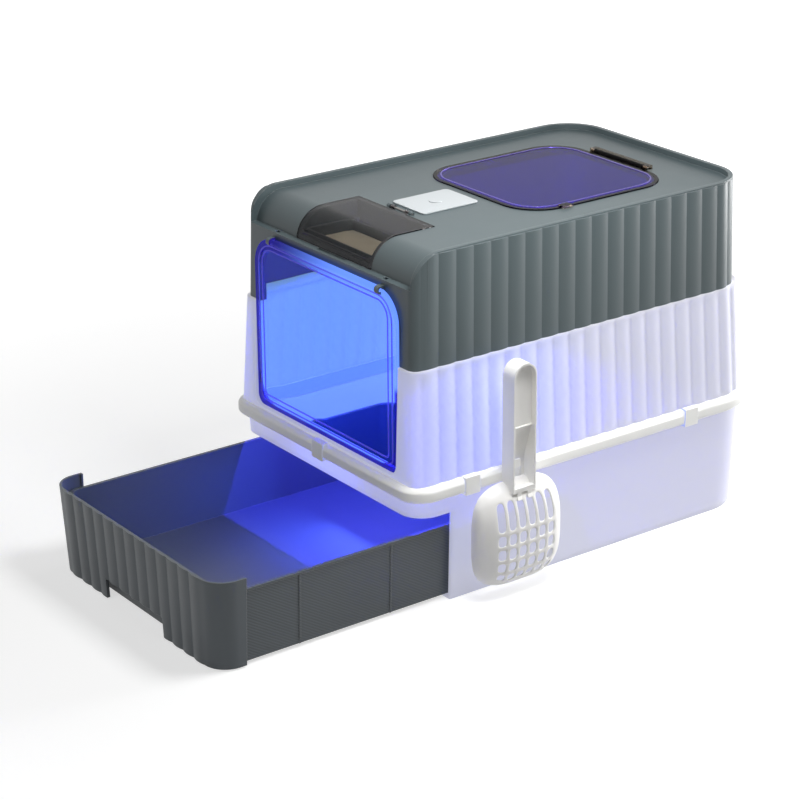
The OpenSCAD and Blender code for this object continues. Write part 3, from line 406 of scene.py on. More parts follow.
def moulded(name, tint, roughness=0.45, grain=1400.0, relief=0.08 * MM, cloud=0.05, edge_highlight=0.18,
            pattern=None, inside=None, light=(0, 0, 0)):
    """Opaque moulded plastic with grain and edges that are softened and a little lighter, a painted
    highlight.

    pattern changes its colour and its height. inside holds a centre and the painted shade and lamp
    light, as a colour and a light, of the faces that look towards it; light is a painted glow of
    the other faces.
    """
    finish = Finish(name)
    grained = finish.grain(rgba(tint), roughness, grain, cloud)
    edges = finish.group("edges", Color=grained["Color"], Worn=edge_highlight)
    shade, height = edges["Color"], grained["Height"]
    if pattern:
        shade, height = pattern(finish, shade, height)
    # Painted shade and lamp light on the faces that look towards the centre, and a painted glow on
    # the others.
    if inside:
        centre, inner_painted_tint, inner_painted_light = inside
        inner = finish.group("inward", Centre=centre)["Mask"]
        shade = mixed(finish.tree, inner, shade, rgba(inner_painted_tint))
        finish.glow(mixed(finish.tree, inner, rgba(light), rgba(inner_painted_light)))
    finish.link(shade, "Base Color")
    finish.relief(height, relief, 0.35, edges["Normal"])
    return finish.material


def diagonal_texture(finish, shade, height):
    """Fine slanting lines on the drawer's outer sides, in the relief, with their shade painted into
    the colour.
    """
    tree = finish.tree
    apart = add(tree, "SeparateXYZ", {0: finish.place}).outputs
    slant = maths(tree, "ADD", apart[1], maths(tree, "MULTIPLY", apart[2], 1.6))
    wave = maths(tree, "SINE", maths(tree, "MULTIPLY", slant, 2 * math.pi / TEXTURE_PITCH))
    side = maths(tree, "GREATER_THAN", maths(tree, "ABSOLUTE", apart[0]), 0.15)
    inner = finish.group("inward", Centre=(0, 0, 0.05))["Mask"]
    wave = maths(tree, "MULTIPLY", wave, maths(tree, "SUBTRACT", side, inner, clamp=True))
    # Painted shade of the lines: the colour darkens with the wave.
    painted_line_shade = maths(tree, "MULTIPLY", maths(tree, "ADD", wave, 1.0), 0.13)
    shade = mixed(tree, painted_line_shade, shade, BLACK)
    return shade, maths(tree, "ADD", height, maths(tree, "MULTIPLY", wave, 1.6))


def glowing_shell(name, tint, glow, centre_y, centre_z, reach, level, top):
    """Translucent white plastic with the lamp's light through it painted into its colour and its
    own light. top is the height of its ledge.
    """
    finish = Finish(name, Subsurface_Weight=0.2, Subsurface_Scale=12 * MM,
                    Subsurface_Radius=(1.0, 1.0, 1.0))
    grained = finish.grain(rgba(tint), 0.42, 900.0, 0.02)
    # Painted lamp light: bluer and lit near the lamp, a faint glow all over and a highlight on the
    # ledge.
    shine = finish.group("glow", Color=grained["Color"], Lit_Color=rgba(glow, 0.7),
                         Light=rgba(tint, 0.96), Lit_Light=rgba(glow, 0.52), Centre_Y=centre_y,
                         Centre_Z=centre_z, Reach=reach, Level=level, Ledge=top - 0.9 * MM)
    edges = finish.group("edges", Radius=11 * MM)
    finish.link(shine["Color"], "Base Color")
    finish.glow(shine["Light"])
    finish.relief(grained["Height"], 0.06 * MM, 0.25, edges["Normal"])
    return finish.material


def panel_border(finish, middle, half, radius):
    """1 outside a rounded rectangle and 0 inside it. An axis of half size 0 is left out."""
    kept = [1.0 if size else 0.0 for size in half]
    inner = [max(0.0, size - radius) for size in half]
    return finish.group("border", Middle=middle, Axes=kept, Inner=inner, Reach=radius)["Mask"]


def carried_light(finish, border):
    """The lamp's light painted into the door's border: blue, and bright at its upper +X end."""
    tree = finish.tree
    apart = add(tree, "SeparateXYZ", {0: finish.place}).outputs
    along = ramp(tree, apart[0], -95 * MM, 50 * MM, kind="SMOOTHSTEP")
    high = ramp(tree, apart[2], 240 * MM, 250 * MM, kind="SMOOTHSTEP")
    bright = maths(tree, "MULTIPLY", along, high)
    light = mixed(tree, bright, (0.009, 0.007, 0.14, 1), (0.13, 0.28, 0.80, 1))
    return mixed(tree, border, BLACK, light)


def clear(name, tint, roughness=0.03, border=None, painted_border_shade=None, border_light=None, light=None):
    """Tinted clear plastic. Outside a rounded rectangle it has a darker tint of painted shade and,
    if given, painted light; light is a painted glow over the whole piece.
    """
    finish = Finish(name, Transmission_Weight=1.0, IOR=CLEAR_IOR, Base_Color=rgba(tint))
    if border:
        edge = panel_border(finish, *border)
        # Painted shade in the border.
        finish.link(mixed(finish.tree, edge, rgba(tint), rgba(painted_border_shade)), "Base Color")
        if border_light:
            finish.glow(border_light(finish, edge))
    if light:
        finish.glow(rgba(light))
    scuffs = finish.group("scuffs", Roughness=roughness)
    finish.link(scuffs["Roughness"], "Roughness")
    finish.relief(scuffs["Height"], 0.04 * MM, 0.15)
    return finish.material


def metal(name, tint, roughness=0.28):
    """Drawn or plated metal with fine lines."""
    finish = Finish(name, Metallic=1.0)
    finish.grain(rgba(tint), roughness, 2400.0, 0.06)
    finish.relief(finish.group("drawn")["Height"], 0.02 * MM, 0.3)
    return finish.material


def felt(name, tint):
    """Non-woven cloth: short random fibres."""
    finish = Finish(name, Roughness=0.9, Sheen_Weight=0.25)
    tree = finish.tree
    lines = add(tree, "Mapping", {"Vector": finish.place, "Scale": (500.0, 1600.0, 900.0)})
    fibre = noise(tree, lines.outputs[0], 1.0, 4.0, 0.65, 1.2)
    cloud = maths(tree, "MULTIPLY", noise(tree, finish.place, 60.0, 3.0), 0.3)
    light = mixed(tree, fibre, rgba(tint, 0.7), rgba(tint, 1.35))
    finish.link(mixed(tree, cloud, light, rgba(tint, 0.5)), "Base Color")
    finish.relief(fibre, 0.2 * MM, 0.6)
    return finish.material


def board(name, tint):
    """Coated circuit board with pale tracks under the coating."""
    finish = Finish(name, Coat_Weight=0.5)
    tracks = add(finish.tree, "TexBrick", {"Vector": finish.place, "Scale": 160.0,
                                           "Mortar Size": 0.03, "Color1": rgba(tint),
                                           "Color2": rgba(tint, 0.8), "Mortar": rgba(tint, 2.4)})
    finish.grain(tracks.outputs[0], 0.35, 2000.0, 0.05)
    finish.relief(tracks.outputs[1], 0.05 * MM, 0.4)
    return finish.material


# Pieces ------------

def body_of(node):
    """The name of the body that holds a fixed part."""
    bodies = frame["record"]["behaviour"]["bodies"]
    return next(body for body, nodes in bodies.items() if node in nodes)


def new_object(name, data):
    """A new object in the scene."""
    made = bpy.data.objects.new(name, data)
    bpy.context.scene.collection.objects.link(made)
    return made


def add_piece(name, mesh, material, node):
    """A new object at the origin, with its material and with the body of a fixed part."""
    piece = new_object(name, mesh)
    mesh.materials.clear()
    mesh.materials.append(material)
    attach(piece, body_of(node))
    return piece


def mark_sharp(mesh, angle):
    """Smooth faces, with the edges sharper than an angle kept crisp."""
    work = bmesh.new()
    work.from_mesh(mesh)
    for face in work.faces:
        face.smooth = True
    for edge in work.edges:
        edge.smooth = len(edge.link_faces) == 2 and edge.calc_face_angle(math.pi) < angle
    work.to_mesh(mesh)
    work.free()


def finished_mesh(work, name, sharp=math.pi):
    """A new mesh from a bmesh, which is freed."""
    mesh = bpy.data.meshes.new(name)
    work.to_mesh(mesh)
    work.free()
    mark_sharp(mesh, sharp)
    return mesh


def round_edges(work, chosen, width):
    """Rounds the edges that chosen picks by their middle and the angle between their faces."""
    edges = []
    for edge in work.edges:
        if len(edge.link_faces) == 2:
            middle = (edge.verts[0].co + edge.verts[1].co) / 2
            if chosen(middle, math.degrees(edge.calc_face_angle_signed())):
                edges.append(edge)
    bmesh.ops.bevel(work, geom=edges, offset=width, offset_type="OFFSET", segments=3,
                    profile=0.5, affect="EDGES", clamp_overlap=True, material=-1)


def soften(piece, width, sharp, segments=2):
    """Rounds a piece's edges that are sharper than an angle in degrees."""
    bevel = piece.modifiers.new("Rounding", "BEVEL")
    bevel.width = width
    bevel.segments = segments
    bevel.limit_method = "ANGLE"
    bevel.angle_limit = math.radians(sharp)
    bevel.miter_outer = "MITER_ARC"
    bevel.harden_normals = True


def refined(node, name, material, sharp=20.0, rounding=0.0, segments=2, rounded=()):
    """A clean copy of a fixed part in its place: merged, flat faces joined, edges rounded.

    rounded holds (chosen, width) pairs for edges that are rounded in the mesh itself.
    """
    work = bmesh.new()
    work.from_mesh(frame["nodes"][node].data)
    bmesh.ops.remove_doubles(work, verts=work.verts, dist=MERGE)
    bmesh.ops.dissolve_degenerate(work, edges=work.edges, dist=MERGE)
    bmesh.ops.dissolve_limit(work, angle_limit=math.radians(0.3), verts=work.verts,
                             edges=work.edges)
    for chosen, width in rounded:
        round_edges(work, chosen, width)
    mesh = finished_mesh(work, name, math.radians(sharp))
    piece = add_piece(name, mesh, material, node)
    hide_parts(node)
    if rounding:
        soften(piece, rounding, sharp, segments)
    return piece


def raised_line(name, place, across, low, high, radii, material, node):
    """Adds a raised line to a fixed part, along a rounded rectangle in the XY plane of place.

    across is half its width, and radii are those of its upper and its lower corners.
    """
    work = bmesh.new()
    corners = bmesh.ops.create_grid(work, x_segments=1, y_segments=1, size=1.0)["verts"]
    bmesh.ops.scale(work, vec=(across, (high - low) / 2, 1), verts=corners)
    for side, radius in zip((1, -1), radii):
        chosen = [vertex for vertex in corners if vertex.is_valid and vertex.co.y * side > 0]
        corners = [vertex for vertex in corners if vertex not in chosen]
        bmesh.ops.bevel(work, geom=chosen, offset=radius, offset_type="OFFSET", segments=12,
                        profile=0.5, affect="VERTICES", clamp_overlap=True, material=-1)
    sheet = work.faces[:]
    ring = bmesh.ops.inset_region(work, faces=sheet, thickness=LINE_WIDTH, use_even_offset=True,
                                  use_boundary=True)
    bmesh.ops.delete(work, geom=sheet, context="FACES")
    grown = bmesh.ops.extrude_face_region(work, geom=ring["faces"])["geom"]
    top = [item for item in grown if isinstance(item, bmesh.types.BMVert)]
    bmesh.ops.translate(work, vec=(0, 0, LINE_RISE), verts=top)
    sunk = 0.05 * MM
    bmesh.ops.translate(work, vec=(0, (high + low) / 2, -sunk), verts=work.verts)
    bmesh.ops.transform(work, matrix=place, verts=work.verts)
    bmesh.ops.recalc_face_normals(work, faces=work.faces)
    if not work.faces or any(edge.is_boundary for edge in work.edges):
        raise RuntimeError(f"{name} is not closed")
    sharp = 40.0
    mesh = finished_mesh(work, name, math.radians(sharp))
    soften(add_piece(name, mesh, material, node), LINE_WIDTH / 5, sharp)


def settings(context):
    """The scene's colours and sizes."""
    return context.scene.litter_box_colours, context.scene.litter_box_sizes


class LITTERBOX_OT_shells(bpy.types.Operator):
    """Builds the translucent base tub, the mid shell and the lower door frame"""

    bl_idname = "litter_box.shells"
    bl_label = "Shells"

    def execute(self, context):
        colours = settings(context)[0]
        tint, glow = colours.shell, colours.glow
        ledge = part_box("mid_shell")[1].z - 8 * MM
        # Both shells carry painted lamp light in their colour and their own light.
        upper = glowing_shell("Mid shell plastic", tint, glow, centre_y=-0.150, centre_z=0.205,
                              reach=0.21, level=0.70, top=ledge)
        lower = glowing_shell("Base plastic", tint, glow, centre_y=-0.190, centre_z=0.100,
                              reach=0.13, level=0.30, top=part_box("base_tub")[1].z)
        refined("base_tub", "base_tub_wall", lower)
        refined("mid_shell", "mid_shell_wall", upper)
        refined("door_frame_low", "door_frame_lower", upper)
        return {"FINISHED"}


class LITTERBOX_OT_band(bpy.types.Operator):
    """Builds the rim band, its snap clips and the scoop's hook"""

    bl_idname = "litter_box.band"
    bl_label = "Rim Band"

    def execute(self, context):
        colours, sizes = settings(context)
        middle_height = 0.136
        # Its inner faces carry painted shade and painted blue lamp light, and its other faces a
        # faint painted glow.
        cream = moulded("Band plastic", colours.band, 0.38, 1100.0, edge_highlight=0.1, cloud=0.03,
                        inside=((0, 0, middle_height), (0.34, 0.38, 0.64), (0.20, 0.23, 0.44)),
                        light=(0.10, 0.10, 0.098))
        refined("rim_band", "rim_band_ring", cream,
                rounded=[(lambda middle, angle: angle > 30, sizes.band_edge)])
        refined("snap_clips", "rim_band_clips", cream, rounding=3 * sizes.fine_edge)
        refined("scoop_hook", "scoop_hook_arm", cream, rounding=sizes.fine_edge)
        return {"FINISHED"}


class LITTERBOX_OT_hood(bpy.types.Operator):
    """Builds the hood with the frames of its door, hatch and deodoriser bay"""

    bl_idname = "litter_box.hood"
    bl_label = "Hood"

    def execute(self, context):
        colours, sizes = settings(context)
        middle_height = 0.30
        # Its inner faces are darker and bluer with a blue light of their own: painted shade and
        # painted lamp light.
        slate = moulded("Hood plastic", colours.hood, 0.40, 1300.0, edge_highlight=0.12,
                        inside=((0, 0, middle_height), (0.012, 0.012, 0.05), (0.014, 0.005, 0.15)))
        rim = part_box("hood")[1].z - 3 * MM
        refined("hood", "hood_shell", slate, rounded=[
            (lambda middle, angle: middle.z > rim and angle > 60, sizes.rim_edge)])
        refined("door_frame_top", "door_frame_upper", slate)
        refined("hatch_frame", "hatch_frame_ring", slate)
        refined("deodoriser_rails", "deodoriser_bay_frame", slate)
        return {"FINISHED"}


class LITTERBOX_OT_door(bpy.types.Operator):
    """Builds the clear front door with its raised lines, its magnet and the keeper"""

    bl_idname = "litter_box.door"
    bl_label = "Front Door"

    def execute(self, context):
        colours, sizes = settings(context)
        low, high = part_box("front_door")
        sill, lintel, jamb = low.z + 4 * MM, high.z - 14 * MM, high.x - 5 * MM
        opening = ((0, 0, (sill + lintel) / 2), (jamb, 0, (lintel - sill) / 2), 30 * MM)
        # Outside the opening the door is dark navy, a painted shade, with painted lamp light bright
        # at its upper +X end.
        blue = clear("Door plastic", colours.door, border=opening,
                     painted_border_shade=(0.035, 0.033, 0.27), border_light=carried_light)
        refined("front_door", "front_door_panel", blue, rounding=sizes.soft_edge)
        # The raised lines are painted dark with a faint blue light: painted shade and painted light
        # along the beads.
        line = clear("Door line plastic", (0.12, 0.11, 0.38), light=(0.045, 0.04, 0.20))
        face = low.y + 3.2 * MM
        front = Matrix.Translation((0, face, 0)) @ Matrix.Rotation(math.pi / 2, 4, "X")
        insets = (("outer", 7.7, 7.7, 8.4, (27.3, 8.3)), ("inner", 15, 14, 13.7, (20, 6)))
        for part, side, below, above, radii in insets:
            raised_line(f"front_door_line_{part}", front, high.x - side * MM, low.z + below * MM,
                        high.z - above * MM, [radius * MM for radius in radii], line,
                        "front_door")
        plated = metal("Magnet plating", (0.10, 0.10, 0.11), 0.4)
        refined("door_magnet", "front_door_magnet", plated, rounding=sizes.fine_edge)
        refined("door_keeper", "door_frame_keeper", plated, rounding=sizes.fine_edge)
        return {"FINISHED"}


class LITTERBOX_OT_hatch(bpy.types.Operator):
    """Builds the hatch lid with its raised line, its latch, hinge bar and pin"""

    bl_idname = "litter_box.hatch"
    bl_label = "Top Hatch"

    def execute(self, context):
        colours, sizes = settings(context)
        low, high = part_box("hatch_lid")
        half = (high.x - low.x) / 2
        rear = low.y + 213.8 * MM
        middle, depth = (low.y + rear) / 2, (rear - low.y) / 2
        corner, black, inset = 46.4 * MM, 4.5 * MM, 7.9 * MM
        window = ((0, middle, 0), (half - black, depth - black, 0), corner - black)
        # Outside the window the lid is near black: painted shade of the recess round it.
        violet = clear("Hatch plastic", colours.hatch, border=window,
                       painted_border_shade=(0.035, 0.03, 0.03))
        # The raised line is paler with a light of its own: a painted highlight along it.
        line = clear("Hatch line plastic", (0.62, 0.58, 0.80), light=(0.10, 0.09, 0.16))
        raised_line("hatch_lid_line", Matrix.Translation((0, 0, low.z + 3.4 * MM)), half - inset,
                    low.y + inset, rear - inset, (corner - inset, corner - inset), line,
                    "hatch_lid")
        brown = clear("Hinge plastic", (0.62, 0.50, 0.40), 0.15)
        refined("hatch_lid", "hatch_lid_panel", violet, rounding=sizes.soft_edge)
        refined("hatch_latch", "hatch_latch_tab", brown, rounding=sizes.fine_edge)
        refined("hatch_hinge_bar", "hatch_hinge_bar_strip", brown, rounding=sizes.fine_edge)
        refined("hatch_pin", "hatch_hinge_pin", metal("Pin steel", colours.steel),
                rounding=sizes.pin_edge)
        return {"FINISHED"}


class LITTERBOX_OT_visor(bpy.types.Operator):
    """Builds the smoked visor and its pin"""

    bl_idname = "litter_box.visor"
    bl_label = "Visor"

    def execute(self, context):
        colours, sizes = settings(context)
        smoke = clear("Visor plastic", colours.smoke, 0.05)
        refined("visor", "visor_window", smoke, rounding=sizes.fine_edge)
        refined("visor_pin", "visor_hinge_pin", metal("Visor pin steel", colours.steel),
                rounding=sizes.pin_edge)
        return {"FINISHED"}


class LITTERBOX_OT_deodoriser(bpy.types.Operator):
    """Builds the deodoriser box and the soft sachet that lies in it"""

    bl_idname = "litter_box.deodoriser"
    bl_label = "Deodoriser"

    def execute(self, context):
        colours, sizes = settings(context)
        box = moulded("Deodoriser plastic", colours.hood, 0.5, 1300.0)
        refined("deodoriser_box", "deodoriser_tray", box, rounding=sizes.fine_edge)
        cloth = felt("Sachet cloth", colours.pad)
        sachet = add_piece("deodoriser_sachet", self.pillow(sizes), cloth, "charcoal_pad")
        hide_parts("charcoal_pad")
        smoothing = sachet.modifiers.new("Smoothing", "SUBSURF")
        smoothing.levels = smoothing.render_levels = 1
        return {"FINISHED"}

    def pillow(self, sizes):
        """A filled bag with a thin sealed edge and a lumpy middle."""
        low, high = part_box("charcoal_pad")
        centre, half = (low + high) / 2, (high - low) / 2
        rise = 3 * sizes.pad_edge
        work = bmesh.new()
        bmesh.ops.create_cube(work, size=1.0)
        bmesh.ops.subdivide_edges(work, edges=work.edges, cuts=15, use_grid_fill=True)
        for vertex in work.verts:
            x, y, z = vertex.co * 2
            from_sides = min(1.0, (1 - abs(x)) * half.x / rise)
            from_ends = min(1.0, (1 - abs(y)) * half.y / rise)
            inside = max(0.0, from_sides * from_ends)
            swell = 0.12 + 0.88 * math.sin(inside * math.pi / 2) ** 0.7
            lump = 1 - 0.10 * (1 + math.sin(9 * x + 2 * y) * math.cos(7 * y - 3 * x)) / 2
            vertex.co = centre + Vector((x * half.x, y * half.y, z * half.z * swell * lump))
        return finished_mesh(work, "deodoriser_sachet")


class LITTERBOX_OT_lamp(bpy.types.Operator):
    """Builds the lamp module, from its cover and button to its board, LEDs, cell and screws"""

    bl_idname = "litter_box.lamp"
    bl_label = "Lamp Module"

    def execute(self, context):
        colours, sizes = settings(context)
        soft, fine = sizes.soft_edge, sizes.fine_edge
        white = moulded("Lamp cover plastic", colours.cover, 0.30, 1600.0, cloud=0.02)
        lens = clear("Lens plastic", (0.85, 0.9, 1.0), 0.12)
        coating = board("Board coating", (0.01, 0.10, 0.03))
        black = moulded("Switch plastic", (0.02, 0.02, 0.022), 0.4)
        sleeve = moulded("Cell sleeve", (0.02, 0.08, 0.25), 0.25, 2000.0)
        plated = metal("Screw plating", colours.steel)
        refined("lamp_cover", "lamp_cover_plate", white, rounding=soft)
        refined("push_button", "lamp_push_button", white, rounding=soft, segments=3)
        refined("lamp_housing", "lamp_housing_box", white, rounding=fine)
        refined("lamp_lens", "lamp_lens_window", lens, rounding=fine)
        refined("led_board", "lamp_board", coating)
        refined("tact_switch", "lamp_switch", black)
        refined("battery_cell", "lamp_cell", sleeve, rounding=fine)
        refined("housing_screws", "lamp_screws", plated, rounding=sizes.pin_edge)
        self.add_leds(sizes.led)
        return {"FINISHED"}

    def add_leds(self, radius):
        """Six flat domes on the underside of the board, over the lens."""
        low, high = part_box("lamp_lens")
        middle, span = (low + high) / 2, high - low
        flatness = 0.25
        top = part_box("led_board")[0].z - radius * flatness
        work = bmesh.new()
        for column in (-1, 1):
            for row in (-1, 0, 1):
                place = Matrix.Translation((middle.x + column * span.x * 0.25,
                                            middle.y + row * span.y * 0.32, top))
                dome = bmesh.ops.create_uvsphere(work, u_segments=20, v_segments=12,
                                                 radius=radius, matrix=place)
                bmesh.ops.scale(work, vec=(1, 1, flatness), verts=dome["verts"],
                                space=place.inverted())
        finish = Finish("LED glow", Emission_Strength=6.0, Roughness=0.2)
        hot = noise(finish.tree, finish.place, 900.0)
        finish.link(mixed(finish.tree, hot, (0.05, 0.10, 1.0, 1), (0.12, 0.22, 1.0, 1)),
                    "Emission Color")
        add_piece("lamp_leds", finished_mesh(work, "lamp_leds"), finish.material, "lamp_lens")


class LITTERBOX_OT_drawer(bpy.types.Operator):
    """Builds the drawer's tray and its reeded front"""

    bl_idname = "litter_box.drawer"
    bl_label = "Drawer"

    def execute(self, context):
        tint = settings(context)[0].drawer
        tray = moulded("Drawer tray plastic", tint, 0.42, 1200.0, relief=0.12 * MM, edge_highlight=0.22,
                       pattern=diagonal_texture)
        front = moulded("Drawer front plastic", tint, 0.42, 1200.0, relief=0.10 * MM, edge_highlight=0.22)
        refined("drawer_tray", "drawer_tray_tub", tray)
        refined("drawer_front", "drawer_front_panel", front)
        return {"FINISHED"}


class LITTERBOX_OT_scoop(bpy.types.Operator):
    """Builds the scoop: its handle, and a bowl with rows of slots"""

    bl_idname = "litter_box.scoop"
    bl_label = "Scoop"

    def execute(self, context):
        colours, sizes = settings(context)
        warm = moulded("Scoop plastic", colours.scoop, 0.36, 1100.0, edge_highlight=0.1, cloud=0.03)
        handle = refined("scoop", "scoop_handle", warm, rounding=sizes.fine_edge)
        self.trim_handle(handle.data)
        add_piece("scoop_bowl", self.bowl(context), warm, "scoop")
        return {"FINISHED"}

    def trim_handle(self, mesh):
        """Cuts the bowl off the handle and makes the upper part of its channel shallow."""
        low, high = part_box("scoop")
        side = Vector((0, 15.8 * MM, 0))
        centre = Vector((0, (low.y + high.y) / 2, low.z + 104 * MM))
        step = Vector((0, 0, low.z + 148 * MM))
        floor_back, floor_front, raised_by = low.x + 1.9 * MM, low.x + 4.6 * MM, 11 * MM
        work = bmesh.new()
        work.from_mesh(mesh)
        cuts = ((centre, (0, 0, -1), True), (centre + side, (0, 1, 0), True),
                (centre - side, (0, -1, 0), True), (step, (0, 0, 1), False))
        for place, outward, trims in cuts:
            bmesh.ops.bisect_plane(work, geom=work.verts[:] + work.edges[:] + work.faces[:],
                                   dist=MERGE, plane_co=place, plane_no=outward,
                                   clear_outer=trims)
            if trims:
                bmesh.ops.holes_fill(work, edges=[e for e in work.edges if e.is_boundary], sides=0)
        for vertex in work.verts:
            if vertex.co.z > step.z + MERGE and floor_back < vertex.co.x < floor_front:
                vertex.co.x += raised_by
        work.to_mesh(mesh)
        work.free()
        mark_sharp(mesh, math.radians(28))

    def bowl(self, context):
        """A domed wall with rounded corners and rows of slots, open towards the box."""
        low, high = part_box("scoop")
        wall, tall = 2.2 * MM, 122 * MM
        mouth, crown = low.x + wall / 2, high.x - 0.4 * MM
        centre = Vector((mouth, (high.y + low.y) / 2, low.z + tall / 2))
        half = (high.y - low.y) / 2 * 0.99
        # Grid lines across, as shares of the half width: an edge, six slots with ribs, an edge.
        slot, rib = 0.150, 0.078
        across = [-1, -0.985, -0.93, -0.82, -0.66]
        slots_across = []
        for column in range(6):
            slots_across.append(len(across) - 1)
            across.append(across[-1] + slot)
            if column < 5:
                across.append(across[-1] + rib)
        across += [0.70, 0.84, 0.94, 0.985, 1]
        # Grid lines up, in millimetres: a lip, five rows of slots, a lip.
        rows = [(107, 96, 84, 74), (70, 63, 57), (53, 46, 40), (36, 30, 24.5), (20.5, 16, 12)]
        up = [0, 1.2, 4, 8]
        slots_up = []
        for row in reversed(rows):
            for height in reversed(row):
                up.append(height)
                if height != row[0]:
                    slots_up.append(len(up) - 1)
        up += [111, 115, 118.5, 121, 122]
        last_across, last_up = len(across) - 1, len(up) - 1
        work = bmesh.new()
        bmesh.ops.create_grid(work, x_segments=last_across, y_segments=last_up, size=1)

        def cell(spot):
            return (spot.x + 1) / 2 * last_across, (spot.y + 1) / 2 * last_up

        gone = []
        for face in work.faces:
            column, row = cell(face.calc_center_median())
            if int(column) in slots_across and int(row) in slots_up:
                gone.append(face)
        for vertex in work.verts:
            column, row = cell(vertex.co)
            u = across[round(column)]
            v = up[round(row)] * MM / (tall / 2) - 1
            dome = (1 - abs(u) ** 3.4) ** (1 / 2.4)
            dome *= (1 - max(0.0, v) ** 2.6) ** 0.62 * (1 - max(0.0, -v) ** 3.2) ** 0.5
            narrower, shorter = math.sqrt(1 - 0.32 * v ** 4), math.sqrt(1 - 0.36 * u ** 4)
            vertex.co = centre + Vector(((crown - mouth) * dome, half * u * narrower,
                                         tall / 2 * v * shorter))
        bmesh.ops.delete(work, geom=gone, context="FACES")
        bmesh.ops.recalc_face_normals(work, faces=work.faces)
        if sum(face.normal.x for face in work.faces) < 0:
            bmesh.ops.reverse_faces(work, faces=work.faces)
        shell = new_object("Bowl pattern", finished_mesh(work, "Bowl pattern"))
        thick = shell.modifiers.new("Wall", "SOLIDIFY")
        thick.thickness = wall
        thick.offset = -1
        smooth = shell.modifiers.new("Smoothing", "SUBSURF")
        smooth.levels = smooth.render_levels = 2
        context.view_layer.update()
        posed = shell.evaluated_get(context.evaluated_depsgraph_get())
        finished = bpy.data.meshes.new_from_object(posed)
        bpy.data.objects.remove(shell)
        finished.name = "scoop_bowl"
        mark_sharp(finished, math.pi)
        return finished


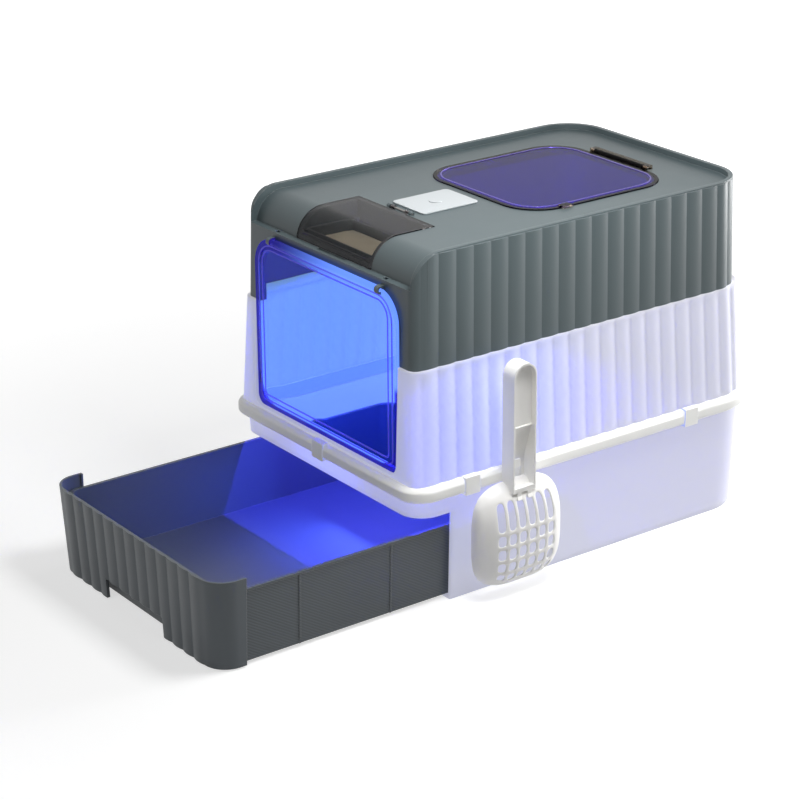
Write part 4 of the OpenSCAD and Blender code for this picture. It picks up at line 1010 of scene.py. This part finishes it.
class LITTERBOX_OT_stage(bpy.types.Operator):
    """Builds the floor, the room's light, the lamps and the camera"""

    bl_idname = "litter_box.stage"
    bl_label = "Studio"

    def execute(self, context):
        stage = context.scene.litter_box_stage
        self.add_floor(stage)
        context.scene.world = self.room(stage)
        self.add_lamp("Rear key", (0.35, 2.85, 0.75), (0, 0, 0.2), 1.6, stage.key)
        self.add_lamp("Overhead", (0.34, -0.10, 0.90), (0.08, -0.10, 0.35), 0.3, stage.top)
        self.add_lamp("Front fill", (0.2, -2.8, 1.7), (0, -0.2, 0.2), 2.0, stage.fill)
        self.add_hood_lamp(stage, settings(context)[0].lamp)
        spill = self.add_lamp("Spill", (0, -0.205, 0.080), (0, -0.6, 0.01), 0.12, stage.spill)
        spill.data.color = (0.10, 0.17, 1.0)
        spill.visible_camera = spill.visible_glossy = spill.visible_transmission = False
        context.scene.camera = self.camera(stage)
        context.scene.view_settings.view_transform = "Standard"
        return {"FINISHED"}

    def seen(self, tree):
        """1 for rays that see the background: from the camera, reflected or through glass."""
        path = add(tree, "LightPath", {}).outputs
        found = maths(tree, "MAXIMUM", path["Is Camera Ray"], path["Is Glossy Ray"])
        return maths(tree, "MAXIMUM", found, path["Is Transmission Ray"])

    def add_floor(self, stage):
        """A wide pale floor that reads as white and keeps the object's shadow."""
        finish = Finish("Studio floor", Roughness=0.9, Emission_Color=WHITE)
        tree = finish.tree
        cloud = noise(tree, finish.place, 3.0)
        finish.link(mixed(tree, cloud, (0.50, 0.50, 0.50, 1), (0.52, 0.52, 0.52, 1)), "Base Color")
        away = vectors(tree, "LENGTH", finish.place)
        shine = ramp(tree, away, 0.55, 1.5, 0.62, 1.0, "SMOOTHSTEP")
        finish.link(maths(tree, "MULTIPLY", self.seen(tree), shine), "Emission Strength")
        work = bmesh.new()
        bmesh.ops.create_grid(work, x_segments=8, y_segments=8, size=stage.floor,
                              matrix=Matrix.Translation((0, 0, -0.1 * MM)))
        mesh = finished_mesh(work, "studio_floor")
        mesh.materials.append(finish.material)
        new_object("studio_floor", mesh)

    def room(self, stage):
        """An even white room."""
        world = bpy.data.worlds.new("Studio room")
        world.use_nodes = True
        tree = world.node_tree
        tree.nodes.clear()
        strength = ramp(tree, self.seen(tree), 0.0, 1.0, stage.room, 1.0)
        light = add(tree, "Background", {"Color": WHITE, "Strength": strength})
        add(tree, "OutputWorld", {0: light.outputs[0]})
        return world

    def add_light(self, name, kind, place, watts):
        """A new lamp of a kind in its place."""
        lamp = new_object(name, bpy.data.lights.new(name, kind))
        lamp.data.energy = watts
        lamp.location = place
        return lamp

    def add_lamp(self, name, place, target, size, watts):
        """A square lamp that faces its target."""
        lamp = self.add_light(name, "AREA", place, watts)
        lamp.data.size = size
        way = Vector(target) - Vector(place)
        lamp.rotation_euler = way.to_track_quat("-Z", "Y").to_euler()
        return lamp

    def add_hood_lamp(self, stage, tint):
        """The lamp's beam, straight down from under the front of its lens."""
        low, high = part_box("lamp_lens")
        place = ((low.x + high.x) / 2, low.y - 26 * MM, low.z - 6 * MM)
        data = self.add_light("Hood lamp", "SPOT", place, stage.lamp).data
        data.color = tint
        data.spot_size = stage.spread
        data.spot_blend = 0.25
        data.shadow_soft_size = 5 * MM

    def camera(self, stage):
        """The camera, placed by its turn, height angle and distance from a target."""
        target = Vector((6.57, -149.46, 170.74)) * MM
        turn, rise, roll = stage.azimuth, stage.elevation, stage.roll
        level = Vector((math.sin(turn), -math.cos(turn), 0))
        back = level * math.cos(rise) + Vector((0, 0, math.sin(rise)))
        right = Vector((0, 0, 1)).cross(back).normalized()
        up = back.cross(right)
        right, up = (math.cos(roll) * right + math.sin(roll) * up,
                     math.cos(roll) * up - math.sin(roll) * right)
        data = bpy.data.cameras.new("Camera")
        data.lens = stage.lens
        data.sensor_width = 36
        data.clip_end = 100
        camera = new_object("Camera", data)
        axes = Matrix((right, up, back)).transposed().to_4x4()
        camera.matrix_world = Matrix.Translation(target + back * stage.distance) @ axes
        return camera


class LITTERBOX_PT_panel(bpy.types.Panel):
    """Lists the settings and the steps of the build"""

    bl_label = "Litter Box"
    bl_idname = "LITTERBOX_PT_panel"
    bl_space_type = "VIEW_3D"
    bl_region_type = "UI"
    bl_category = "Litter Box"

    def draw(self, context):
        for group in SETTINGS:
            box = self.layout.box()
            values = getattr(context.scene, group)
            for name in values.__annotations__:
                box.prop(values, name)
        for operator in OPERATORS:
            self.layout.operator(operator.bl_idname)


OPERATORS = (
    LITTERBOX_OT_stage, LITTERBOX_OT_shells, LITTERBOX_OT_band, LITTERBOX_OT_hood,
    LITTERBOX_OT_door, LITTERBOX_OT_hatch, LITTERBOX_OT_visor, LITTERBOX_OT_deodoriser,
    LITTERBOX_OT_lamp, LITTERBOX_OT_drawer, LITTERBOX_OT_scoop,
)
SETTINGS = {
    "litter_box_colours": LitterBoxColours,
    "litter_box_sizes": LitterBoxSizes,
    "litter_box_stage": LitterBoxStage,
}
CLASSES = (*SETTINGS.values(), *OPERATORS, LITTERBOX_PT_panel)


def register():
    for cls in CLASSES:
        bpy.utils.register_class(cls)
    for name, group in SETTINGS.items():
        setattr(bpy.types.Scene, name, PointerProperty(type=group))


def unregister():
    for name in SETTINGS:
        delattr(bpy.types.Scene, name)
    for cls in reversed(CLASSES):
        bpy.utils.unregister_class(cls)


def main():
    register()
    build_groups()
    for operator in OPERATORS:
        group, name = operator.bl_idname.split(".")
        getattr(getattr(bpy.ops, group), name)()


if __name__ == "__main__":
    main()
